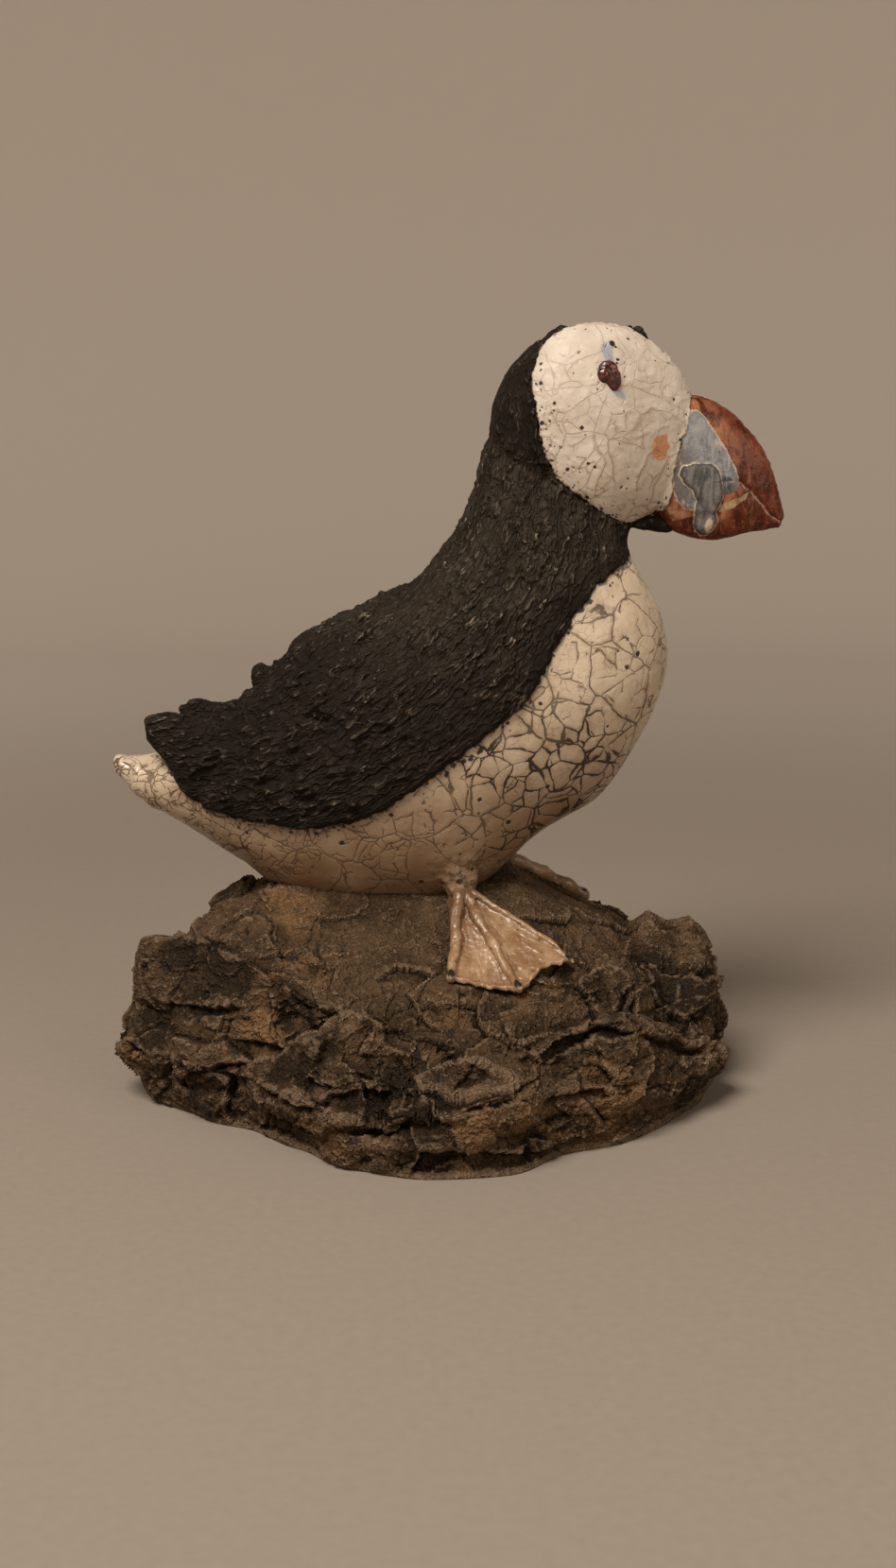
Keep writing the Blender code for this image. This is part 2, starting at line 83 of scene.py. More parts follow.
# Each row of a lofted form: X and Z of its upper edge, X and Z of its lower edge and half its breadth. A
# sixth number moves the ring's middle to that Y.
BODY_STATIONS = (
    (-504, 192, -505, 168, 15), (-455, 190, -464, 122, 44), (-404, 204, -419, 98, 62),
    (-362, 226, -365, 64, 78), (-319, 258, -312, 30, 96), (-268, 307, -262, -6, 116),
    (-203, 371, -187, -28, 138), (-118, 418, -85, -34, 153), (-52, 451, 30, -18, 160),
    (-11, 491, 140, 74, 157), (11, 519, 232, 135, 150), (26, 543, 300, 243, 140),
    (36, 564, 327, 330, 129), (42, 582, 316, 404, 118), (48, 603, 285, 464, 104),
    (52, 625, 262, 506, 91), (60, 655, 266, 545, 80), (84, 690, 268, 600, 62),
)
# In millimetres of the frame: the mantle's lower edge from the throat to the tail, then round the back.
MANTLE_BORDER = (
    (79.5, 214.8), (77.5, 214.0), (69.1, 209.2), (61.5, 203.6), (58.2, 198.1), (53.2, 194.0), (50.7, 187.7),
    (46.1, 179.3), (41.9, 170.1), (37.6, 163.0), (30.5, 157.0), (21.3, 148.5), (13.4, 142.4), (2.7, 134.4),
    (-8.8, 126.1), (-17.5, 119.2), (-24.1, 116.8), (-36.9, 113.4), (-47.7, 111.4), (-60.0, 111.8),
    (-73.7, 113.4), (-83.4, 115.0), (-89.5, 117.2), (-95.8, 124.5), (-103.6, 135.9), (-106.4, 141.5),
    (-116, 164), (-81, 196), (-33, 223), (-9, 255), (18, 271), (77, 241.5), (87, 235.7),
)
# X and Z of the face disc's outline, in thousandths again.
FACE_BORDER = (
    (169, 813), (139, 794), (122, 760), (118, 733), (126, 693), (133, 652), (143, 625),
    (161, 597), (190, 577), (232, 549), (253, 541), (288, 542), (326, 560), (326, 612),
    (350, 690), (352, 722), (331, 760), (296, 792), (262, 812), (228, 820), (200, 820),
)
BILL_STATIONS = (
    (296, 716, 290, 562, 40), (350, 722, 322, 533, 37), (374, 718, 350, 519, 34),
    (410, 700, 384, 513, 29), (437, 674, 414, 516, 25), (456, 652, 438, 523, 21),
    (469, 629, 457, 526, 17), (481, 597, 474, 529, 13), (492, 560, 486, 531, 9),
)
NEAR_WING_TIP = (
    (-449, 254, -446, 240, 5, -54), (-438, 259, -440, 218, 16, -55), (-406, 257, -416, 188, 24, -58),
    (-366, 246, -386, 140, 32, -60), (-310, 246, -330, 120, 32, -52), (-250, 262, -270, 160, 24, -40),
)
FAR_WING_TIP = (
    (-411, 252, -411, 238, 7, 84), (-400, 262, -405, 224, 19, 84), (-375, 260, -388, 196, 25, 80),
    (-316, 262, -335, 140, 32, 62), (-250, 275, -270, 170, 24, 44),
)
HEAD_X, HEAD_Z, HEAD_RADIUS, HEAD_WIDTH = 210, 674, 148, 104
HEAD_FULLNESS, CHEEK_FULLNESS = 0.72, 0.9


def to_world(shares):
    """Rows of X and Z in thousandths of the figure, to metres in the frame."""
    return np.array(shares, float) * SHARE + (FORWARD, HEIGHT)


def at(x, y, z):
    """A point in thousandths of the figure, to metres in the frame."""
    return np.array((FORWARD + x * SHARE, y * SHARE, HEIGHT + z * SHARE))


def full_turn(count):
    """Angles all the way round, the last one short of the first."""
    return np.linspace(0, 2 * math.pi, count, endpoint=False)


# %% [markdown]
# ## Noise
#
# Clay is never even, so most forms need a field that wanders smoothly through space. Gradient noise
# puts a fixed random slope on each corner of a lattice and blends the eight slopes round a point.
# The random numbers come from mixing the corner's own whole coordinates, so every run is the same.

# %% Gradient noise
def lattice(points, scale):
    """The lattice corner before each point and the step from it, as rows of X, Y and Z."""
    place = (np.asarray(points) / scale).T
    start = np.floor(place).astype(np.int64)
    return start, place - start


def random_bits(corner, seed):
    """32 random bits for each corner, mixed from its whole coordinates."""
    mixed = corner[0] * 374761393 + corner[1] * 668265263 + corner[2] * 2147483647 + seed * 974634777
    mixed = mixed & 0xFFFFFFFF
    mixed = ((mixed ^ (mixed >> 13)) * 1274126177) & 0xFFFFFFFF
    return mixed ^ (mixed >> 16)


def random_share(bits, shift, count=8):
    """A number from 0 to 1 out of some of the bits."""
    return ((bits >> shift) & (2**count - 1)) / (2**count - 1)


def noise(points, scale, seed=0):
    """About -1 to 1, wandering over lumps of the given size; scale is one length, or one for each axis."""
    start, step = lattice(points, scale)
    ease = step**3 * (step * (step * 6 - 15) + 10)
    total = 0.0
    for corner in np.ndindex(2, 2, 2):
        side = np.array(corner)[:, None]
        weight = np.prod(np.where(side == 1, ease, 1 - ease), axis=0)
        bits, away = random_bits(start + side, seed), step - side
        slope = sum((2 * random_share(bits, 10 * axis, 10) - 1) * away[axis] for axis in range(3))
        total = total + weight * slope
    return 1.5 * total


def rough(points, scale, octaves, seed=0):
    """Noise on noise: each octave half the size and half the height of the one before."""
    return sum(0.5**n * noise(points, scale / 2**n, seed + 7 * n) for n in range(octaves))


# %% [markdown]
# Pits and crumbs sit at separate places, so they need another field: one random point in each cell
# of the lattice, and the distance to the nearest of them. Torn clay breaks into plates, and the same
# points make those: the space nearest to a point is its plate, with its own height and its own lean.

# %% Scattered points and plates
def nearest_points(points, spacing, seed):
    """Distances to the nearest and the second scattered point, the first's random bits and the way to it."""
    start, step = lattice(points, spacing)
    nearest, second = np.full(step.shape[1], 9.0), np.full(step.shape[1], 9.0)
    bits, way = np.zeros(step.shape[1], np.int64), np.zeros(step.shape)
    for shift in np.ndindex(3, 3, 3):
        side = np.array(shift)[:, None] - 1
        mixed = random_bits(start + side, seed)
        away = np.stack([side[axis] + random_share(mixed, 10 * axis, 10) - step[axis] for axis in range(3)])
        distance = np.sqrt((away**2).sum(axis=0))
        closer = distance < nearest
        second = np.where(closer, nearest, np.minimum(second, distance))
        nearest = np.where(closer, distance, nearest)
        bits = np.where(closer, mixed, bits)
        way = np.where(closer, away, way)
    return nearest, second, bits, way


def dots(points, spacing, size, seed):
    """Round dots at scattered points, spacing in millimetres and size as a share of it."""
    return np.clip(size - nearest_points(points, spacing * MM, seed)[0], 0, 1)


def plates(points, spacing, lean, seed=0):
    """Height of the plate a point is on, from -1 to 1 and leaning, and the distance to the plate's border."""
    nearest, second, bits, way = nearest_points(points, spacing, seed)
    random = [2 * random_share(bits, shift) - 1 for shift in (3, 9, 15, 21)]
    slope = sum(way[axis] * random[axis + 1] for axis in range(3))
    return random[0] + lean * slope, (second - nearest) * spacing / MM


def smooth_step(value, start, end):
    """0 before start, 1 after end, and an even S-curve between."""
    share = np.clip((value - start) / (end - start), 0, 1)
    return share * share * (3 - 2 * share)


def patches(points, size, limits, seed):
    """0 to 1 in soft patches of this many millimetres: noise with a smooth step between two limits."""
    return smooth_step(noise(points, size * MM, seed), *limits)


def bell(value, width):
    """1 at zero, falling to 0 on both sides by a bell curve."""
    return np.exp(-((value / width) ** 2))


def bump_at(points, middle, radius, power=2):
    """A round bump: 1 in the middle, and the exponent of minus (distance over radius) to a power."""
    away = np.linalg.norm((points - np.array(middle)) / radius, axis=-1)
    return np.exp(-(away**power))


# %% [markdown]
# ## Lines and outlines
#
# A few stations give a form, and a Catmull-Rom curve passes through them. Glaze and clay meet along
# outlines seen from the side, so a distance to an outline says how far inside or outside a point is.

# %% Curves through stations, and distance to an outline
def smooth_rows(stations, place):
    """The Catmull-Rom cubic through rows of numbers, read at the given places (0 is the first row)."""
    rows = np.array(stations, float)
    padded = np.vstack([2 * rows[0] - rows[1], rows, 2 * rows[-1] - rows[-2]])
    start = np.clip(np.floor(place).astype(int), 0, len(rows) - 2)
    t = (place - start)[:, None]
    a, b, c, d = (padded[start + shift] for shift in range(4))
    return 0.5 * (2 * b + (c - a) * t + (2 * a - 5 * b + 4 * c - d) * t**2 + (3 * b - a - 3 * c + d) * t**3)


def even_rows(stations, count):
    """The same curve at places whose steps, averaged over the first four numbers, are equally long."""
    fine = np.linspace(0, len(stations) - 1, 2000)
    steps = np.abs(np.diff(smooth_rows(stations, fine)[:, :4], axis=0)).sum(axis=1) + 1e-6
    travelled = np.concatenate([[0], np.cumsum(steps)])
    return smooth_rows(stations, np.interp(np.linspace(0, travelled[-1], count), travelled, fine))


def even_steps(curves, count):
    """Each curve of an array (curves, points, XYZ), resampled at equal steps of its own length."""
    steps = np.linalg.norm(np.diff(curves, axis=1), axis=2)
    travelled = np.concatenate([np.zeros((len(curves), 1)), np.cumsum(steps, axis=1)], axis=1)
    target = travelled[:, -1:] * np.linspace(0, 1, count)
    before = (travelled[:, None, 1:-1] <= target[:, :, None]).sum(axis=2)
    row = np.arange(len(curves))[:, None]
    length = travelled[row, before + 1] - travelled[row, before]
    share = ((target - travelled[row, before]) / np.maximum(length, 1e-12))[..., None]
    return curves[row, before] * (1 - share) + curves[row, before + 1] * share


def from_stretch(x, z, start, end):
    """For each point the share of a straight stretch passed, the distance to it, and its side by sign."""
    run_x, run_z = end[0] - start[0], end[1] - start[1]
    x, z = x - start[0], z - start[1]
    share = np.clip((x * run_x + z * run_z) / (run_x**2 + run_z**2 + 1e-18), 0, 1)
    return share, np.hypot(x - share * run_x, z - share * run_z), x * run_z - z * run_x


def depth_inside(x, z, outline):
    """Distance to a closed outline, positive inside: the nearest side, and its sign by counting crossings."""
    nearest = np.full(x.shape, np.inf)
    inside = np.zeros(x.shape, bool)
    for start, end in zip(outline, np.roll(outline, -1, axis=0)):
        nearest = np.minimum(nearest, from_stretch(x, z, start, end)[1])
        (x0, z0), run = start, end - start
        before = x < run[0] * (z - z0) / (run[1] if run[1] else 1e-18) + x0
        inside ^= ((z0 > z) != (end[1] > z)) & before
    return np.where(inside, nearest, -nearest)


def signed_distance(x, z, line):
    """Distance to the nearest stretch of an open line, its sign telling the side."""
    nearest = np.full(x.shape, np.inf)
    for start, end in zip(line, line[1:]):
        _, away, side = from_stretch(x, z, start, end)
        nearest = np.where(away < np.abs(nearest), away * np.sign(side), nearest)
    return nearest


# %% [markdown]
# ## From arrays to a mesh
#
# Most pieces are a grid of points: rows of rings, joined by four-sided faces, with a point in the
# middle of each end ring to close it. The helper measures the volume that the faces enclose, and turns
# them all round if it is negative, so that they always point outwards.

# %% Grids and meshes
def grid_normals(grid):
    """Unit normals of a grid of rings: the step along the rows crossed with the step round the ring."""
    along = np.gradient(grid, axis=0)
    around = np.roll(grid, -1, axis=1) - np.roll(grid, 1, axis=1)
    normals = np.cross(along, around)
    normals /= np.maximum(np.linalg.norm(normals, axis=2, keepdims=True), 1e-12)
    middle = grid.mean(axis=1, keepdims=True)
    return normals * np.sign((normals * (grid - middle)).sum() + 1e-12)


def mesh_from(name, points, corners, sizes):
    """A mesh of points and faces: the faces' corners in one row, and how many each face has."""
    mesh = bpy.data.meshes.new(name)
    mesh.vertices.add(len(points))
    mesh.vertices.foreach_set("co", np.asarray(points, np.float32).ravel())
    mesh.loops.add(len(corners))
    mesh.loops.foreach_set("vertex_index", np.asarray(corners, np.int32))
    mesh.polygons.add(len(sizes))
    starts = np.concatenate([[0], np.cumsum(sizes)[:-1]])
    mesh.polygons.foreach_set("loop_start", np.asarray(starts, np.int32))
    mesh.update(calc_edges=True)
    mesh.validate()
    mesh.shade_smooth()
    return mesh


def ring_faces(rows, sides):
    """The numbers of a grid's points, of their neighbours round the ring, and the faces between rings."""
    index = np.arange(rows * sides).reshape(rows, sides)
    after = np.roll(index, -1, axis=1)
    return index, after, np.stack([index[:-1], after[:-1], after[1:], index[1:]], axis=-1).reshape(-1, 4)


def skin(name, grid):
    """A closed skin over rings (rows, sides, XYZ), with a fan of triangles over each end."""
    rows, sides, _ = grid.shape
    index, after, quads = ring_faces(rows, sides)
    points = np.vstack([grid.reshape(-1, 3), grid[0].mean(axis=0), grid[-1].mean(axis=0)])
    first = np.stack([after[0], index[0], np.full(sides, rows * sides)], axis=-1)
    last = np.stack([index[-1], after[-1], np.full(sides, rows * sides + 1)], axis=-1)
    fans = np.vstack([first, last])
    triangles = np.vstack([quads[:, :3], quads[:, [0, 2, 3]], fans])
    if np.linalg.det(points[triangles]).sum() < 0:
        quads, fans = quads[:, ::-1], fans[:, ::-1]
    sizes = np.concatenate([np.full(len(quads), 4), np.full(len(fans), 3)])
    return mesh_from(name, points, np.concatenate([quads.ravel(), fans.ravel()]), sizes)


def numbers_of(items, name, each=1, kind=np.int32):
    """One property of all the items, with so many numbers for each, in a row."""
    flat = np.empty(len(items) * each, kind)
    items.foreach_get(name, flat)
    return flat


def points_of(mesh):
    """All the points of a mesh, as an array."""
    return numbers_of(mesh.vertices, "co", 3, np.float32).reshape(-1, 3).astype(float)


def normals_of(mesh):
    """The unit normal at each point of a mesh, as an array."""
    return numbers_of(mesh.vertex_normals, "vector", 3, np.float32).reshape(-1, 3).astype(float)


def push_out(mesh, amount):
    """Moves each point along its own normal, by millimetres."""
    moved = points_of(mesh) + normals_of(mesh) * (amount * MM)[:, None]
    mesh.vertices.foreach_set("co", moved.astype(np.float32).ravel())
    mesh.update()


def paint(mesh, name, values):
    """One number on each point, under a name that a material can read."""
    layer = mesh.attributes.new(name, "FLOAT", "POINT")
    layer.data.foreach_set("value", np.asarray(values, np.float32))


def triangle_count(mesh):
    mesh.calc_loop_triangles()
    return len(mesh.loop_triangles)


# %% [markdown]
# Some forms are several clay parts pressed together. Their skins are joined into one mesh, and a
# voxel remesh keeps only the outside. Smoothing then rounds the joins as a thumb does. A Decimate
# modifier takes points away where the surface is even.

# %% Pressing parts together
MOST_TRIANGLES = {"white_body": 190_000, "black_mantle": 196_000, "foot": 70_000, "clay_rock": 196_000}


def joined_mesh(name, meshes):
    """All the meshes' points and faces in one mesh, still overlapping."""
    points, corners, sizes, count = [], [], [], 0
    for mesh in meshes:
        points.append(points_of(mesh))
        corners.append(numbers_of(mesh.loops, "vertex_index") + count)
        sizes.append(numbers_of(mesh.polygons, "loop_total"))
        count += len(mesh.vertices)
    return mesh_from(name, np.vstack(points), np.concatenate(corners), np.concatenate(sizes))


def modified(mesh, *steps):
    """The mesh after modifiers, given as a type and its settings."""
    helper = bpy.data.objects.new("helper", mesh)
    bpy.context.scene.collection.objects.link(helper)
    for kind, settings in steps:
        modifier = helper.modifiers.new(kind, kind)
        for key, value in settings.items():
            setattr(modifier, key, value)
    bpy.context.view_layer.update()
    made = bpy.data.meshes.new_from_object(helper.evaluated_get(bpy.context.evaluated_depsgraph_get()))
    bpy.data.objects.remove(helper)
    made.shade_smooth()
    return made


def pressed(name, meshes, voxel, rounds):
    """One skin round all the parts, its joins softened by some rounds of smoothing."""
    remesh = ("REMESH", {"mode": "VOXEL", "voxel_size": voxel, "adaptivity": 0.0})
    smooth = ("SMOOTH", {"factor": 0.5, "iterations": rounds})
    made = modified(joined_mesh(name, meshes), remesh, smooth)
    made.name = name
    print(name, "remeshed to", len(made.vertices), "points")
    return made


def thinned(mesh, most):
    """Fewer triangles, taken away first where the surface is flat."""
    count = triangle_count(mesh)
    if count <= most:
        return mesh
    return modified(mesh, ("DECIMATE", {"ratio": most / count}))


# %% [markdown]
# Wear, soot, dust and painted light follow the relief: crests get rubbed and a painted highlight, hollows
# stay dark with soot and painted shade. The height of a point over its surroundings is measured by
# smoothing a copy of the mesh, and comparing.

# %% Height over the surroundings
def relief_height(mesh, rounds):
    """How far each point stands over the mean of its neighbours' neighbours, in millimetres."""
    one, other = numbers_of(mesh.edges, "vertices", 2).reshape(-1, 2).T
    count = len(mesh.vertices)
    links = np.bincount(one, minlength=count) + np.bincount(other, minlength=count)
    start = points_of(mesh)
    calm = start
    for _ in range(rounds):
        total = [
            np.bincount(one, calm[other, axis], count) + np.bincount(other, calm[one, axis], count)
            for axis in range(3)
        ]
        calm = 0.5 * calm + 0.5 * np.stack(total, axis=1) / links[:, None]
    return ((start - calm) * normals_of(mesh)).sum(axis=1) / MM


# %% [markdown]
# ## The white body
#
# The breast, belly and tail are one hollow form, coiled and smoothed, then dipped in white glaze.
# It is lofted: each station is a ring from the back to the belly, and the rings are carried along the
# bird. A sphere pulled into shape would do as well, but a loft keeps the real profile.

# %% Rings of a lofted form
def lens_rings(table, sides, fullness):
    """Rings from upper to lower edge of each row: half breadth times the sine to the power of fullness."""
    turn = full_turn(sides)
    upper, lower = table[:, 0:2] * SHARE, table[:, 2:4] * SHARE
    middle, half = (upper + lower) / 2, (upper - lower) / 2
    x = FORWARD + middle[:, 0:1] + half[:, 0:1] * np.cos(turn)
    z = HEIGHT + middle[:, 1:2] + half[:, 1:2] * np.cos(turn)
    y = table[:, 4:5] * SHARE * np.sign(np.sin(turn)) * np.abs(np.sin(turn)) ** fullness
    if table.shape[1] > 5:
        y = y + table[:, 5:6] * SHARE
    return np.stack([x, y, z], axis=2)


def clay_thickness(points):
    """How thick the black clay lies on the body, in metres: thin along the spine and up the neck."""
    neck = smooth_step(points[..., 2], 0.150, 0.215)
    return 3.3 * MM * (0.4 + 0.6 * smooth_step(np.abs(points[..., 1]), 0.0, 0.030)) * (1 - 0.62 * neck)


def mantle_depth(points):
    """Depth inside the black mantle's ragged border, in millimetres: it wanders by noise of three sizes."""
    inside = depth_inside(points[:, 0] / MM, points[:, 2] / MM, np.array(MANTLE_BORDER))
    ragged = 1.0 * noise(points, 7 * MM, 3) + 1.2 * noise(points, 2.6 * MM, 4)
    ragged = ragged + 0.4 * noise(points, 1.2 * MM, 5)
    return inside + ragged * smooth_step(np.abs(points[:, 1]), 0.004, 0.012)


# %% [markdown]
# Under the belly the same skin runs down into the legs, so a cone for each leg's root is pressed on
# and its join rounded off. Then come slow lumps from the hand, and the strokes of the brush.

# %% White body
FEET = {
    "near": {"ankle": (18, -98, 6), "toes": ((4, -240), (103, -250), (182, -190))},
    "far": {"ankle": (50, 70, 2), "toes": ((84, 262), (180, 226), (226, 112))},
}


def tube(path, radii, sides=40):
    """Circles carried along a path, each square to it."""
    ahead = np.gradient(path, axis=0)
    ahead /= np.linalg.norm(ahead, axis=1, keepdims=True)
    aside = np.cross(ahead, (0.13, 0.21, 1.0))
    aside /= np.linalg.norm(aside, axis=1, keepdims=True)
    turn = full_turn(sides)[None, :, None]
    circle = np.cos(turn) * aside[:, None] + np.sin(turn) * np.cross(aside, ahead)[:, None]
    return path[:, None] + radii[:, None, None] * circle


def leg_root(foot):
    """A cone whose radius opens upwards by a power curve, from the foot to inside the belly."""
    x, y, z = foot["ankle"]
    ankle, hip = at(x, y, z - 14), at(x - 6, y * 0.62, 96)
    up = np.linspace(0, 1, 50)
    return tube(ankle + (hip - ankle) * up[:, None], (4.9 + 13 * up**1.3) * MM, 60)


def at_legs(points):
    """1 round the lower end of each leg."""
    roots = [(*at(*foot["ankle"])[:2], 0.088) for foot in FEET.values()]
    return np.maximum(*(bump_at(points, root, 0.013, 4) for root in roots))


white_parts = [skin("body", lens_rings(even_rows(BODY_STATIONS, 300), 240, 0.9))]
white_parts += [skin("leg_root", leg_root(foot)) for foot in FEET.values()]
white_mesh = pressed("white_body", white_parts, (1.0) * MM, 10)
places = points_of(white_mesh)
normals = normals_of(white_mesh)
under_mantle = mantle_depth(places + normals * clay_thickness(places)[:, None])
lumps = 0.50 * noise(places, 26 * MM, 11) + 0.16 * rough(places, 9 * MM, 2, 12)
strokes = 0.12 * noise(places, (3 * MM, 3 * MM, 22 * MM), 13)
tail_folds = 0.90 * noise(places, (5 * MM, 8 * MM, 16 * MM), 14) * smooth_step(-places[:, 0], 0.100, 0.115)
lumps = lumps + 1.1 * rough(places, 4 * MM, 2, 15) * at_legs(places)
push_out(white_mesh, lumps + strokes + tail_folds - 1.4 * smooth_step(under_mantle, 0.8, 2.8))
white_mesh = thinned(white_mesh, MOST_TRIANGLES["white_body"])
places = points_of(white_mesh)

# %% [markdown]
# Where the white glaze does what is painted on the points: how far outside the mantle a point lies,
# where the smoke lines are bold, where the small honeycomb cells are, and where the glaze is tan, with
# painted shade that darkens it low on the belly and underneath.

# %% Where the white glaze changes
out_of_mantle = -mantle_depth(places + normals_of(white_mesh) * clay_thickness(places)[:, None])
x_mm, _, z_mm = (places / MM).T
bold = bump_at(places[:, [0, 2]], (0.046, 0.130), 0.036, 4) * (0.85 + 0.40 * noise(places, 20 * MM, 21))
comb = smooth_step(-x_mm, 30, 60) * (0.6 + 0.5 * noise(places, 18 * MM, 23))
# Tan glaze and painted shade: the belly is painted browner towards the bottom and the rear, and most under
# it.
tan_and_shade = smooth_step(-z_mm + 0.10 * x_mm, -168, -92) * (0.95 + 0.25 * noise(places, 14 * MM, 22))
under_belly = smooth_step(-z_mm, -99, -90) * smooth_step(x_mm, -20, 0)
leg = at_legs(places)
tan_and_shade = np.maximum(np.maximum(tan_and_shade * (1 - smooth_step(-x_mm, 92, 112)), under_belly), 0.8 * leg)
attributes = (("out_of_mantle", out_of_mantle), ("bold", bold), ("comb", comb), ("tan_and_shade", tan_and_shade), ("leg", leg))
for name, values in attributes:
    paint(white_mesh, name, values if name == "out_of_mantle" else np.clip(values, 0, 1))

# %% [markdown]
# ## The black mantle
#
# Back, wings, neck and hood are a second layer of coarse clay, laid over the body and brushed while
# wet. It starts from the body's own rings, pushed out inside the mantle's border and pulled under the
# white outside it, so its edge is a rounded lip that hides where it ends. The head, the wings' ends
# and some lumps of clay are pressed on.

# %% Mantle form
def mantle_rings():
    """The body's rings moved along their normals: a rounded lip of clay inside the border, sunk outside."""
    grid = lens_rings(even_rows(BODY_STATIONS, 330), 280, 0.9)
    normals = grid_normals(grid)
    thick = clay_thickness(grid)
    depth = mantle_depth((grid + normals * thick[..., None]).reshape(-1, 3)).reshape(thick.shape)
    rise = np.sqrt(1 - (1 - np.clip(depth / 2.8, 0, 1)) ** 2)
    return grid + normals * (thick * rise - 1.9 * MM * (1 - smooth_step(depth, -1.0, 0.0)))[..., None]


def head_grid():
    """A ball with a pole on each cheek: its reach is sine to a power, its breadth cosine to a power."""
    meridian = np.linspace(0.02, math.pi - 0.02, 90)[:, None]
    turn = full_turn(160)[None, :]
    reach = HEAD_RADIUS * SHARE * np.sin(meridian) ** HEAD_FULLNESS
    x = FORWARD + HEAD_X * SHARE + reach * np.cos(turn)
    z = HEIGHT + HEAD_Z * SHARE + reach * np.sin(turn)
    side = -np.cos(meridian)
    y = HEAD_WIDTH * SHARE * np.sign(side) * np.abs(side) ** CHEEK_FULLNESS * head_taper(x)
    return np.stack([x, y, z], axis=2)


def head_taper(x):
    """The head's sides close in towards the bill, from a soft start."""
    ramp = ((x - FORWARD) / SHARE - 214) / 140
    return 1 - 0.56 * np.minimum(0.5 * (ramp + np.sqrt(ramp**2 + 0.03)), 1.0)


def horn(root, end, root_radius, end_radius):
    """A rounded horn of clay: circles along a straight line, closed by a half ball."""
    root, end = at(*root), at(*end)
    share = np.linspace(0, 1, 40)[:, None]
    radius = (root_radius + (end_radius - root_radius) * share) * SHARE
    radius = radius * np.sqrt(np.clip(1 - np.clip((share - 0.8) / 0.2, 0, 1) ** 2, 0.02, 1))
    axis = (end - root) / np.linalg.norm(end - root)
    one = np.cross(axis, (0, 1, 0))
    one /= np.linalg.norm(one)
    turn = full_turn(40)
    circle = np.cos(turn)[:, None] * one + np.sin(turn)[:, None] * np.cross(axis, one)
    return (root + (end - root) * share)[:, None, :] + radius[..., None] * circle


mantle_parts = [skin("mantle", mantle_rings()), skin("hood", head_grid())]
for name, stations in (("near_wing_end", NEAR_WING_TIP), ("far_wing_end", FAR_WING_TIP)):
    mantle_parts.append(skin(name, lens_rings(even_rows(stations, 80), 70, 0.6)))
mantle_parts.append(skin("nub", horn((-236, -8, 300), (-292, -10, 312), 27, 15)))
mantle_parts.append(skin("saddle_lump", horn((-318, -22, 240), (-340, -22, 270), 30, 15)))
mantle_parts.append(skin("wing_knob", horn((-392, 78, 226), (-390, 80, 266), 17, 15)))
for name, aside in (("chin_near", -22), ("chin_far", 22)):
    mantle_parts.append(skin(name, horn((244, aside, 562), (332, aside / 3, 526), 23, 6)))
mantle_mesh = pressed("black_mantle", mantle_parts, (0.62) * MM, 5)

# %% [markdown]
# The relief of the black clay is what a stiff brush leaves: thin winding ridges that run along the
# bird, upright on the neck and almost level on the wings, as if the brush had swung round a point
# behind the shoulder. So the noise is read in polar coordinates about that point: the arc swung, and
# the distance from it. A thin ridge stands wherever stretched noise crosses zero.

# %% Brushed ridges
SWING_MIDDLE = (-0.110, 0.273)
SWING_RADIUS = 0.15


def swung(points):
    """The arc swung round the middle, the breadth, and the distance from the middle."""
    x, z = points[:, 0] - SWING_MIDDLE[0], points[:, 2] - SWING_MIDDLE[1]
    return np.stack([SWING_RADIUS * np.arctan2(z, x), points[:, 1], np.hypot(x, z)], axis=1)


def thin_ridges(points, scale, width, seed):
    """1 on the lines where the noise is zero, falling to 0 within the width: a bell curve of the noise."""
    return bell(noise(points, scale, seed), width)


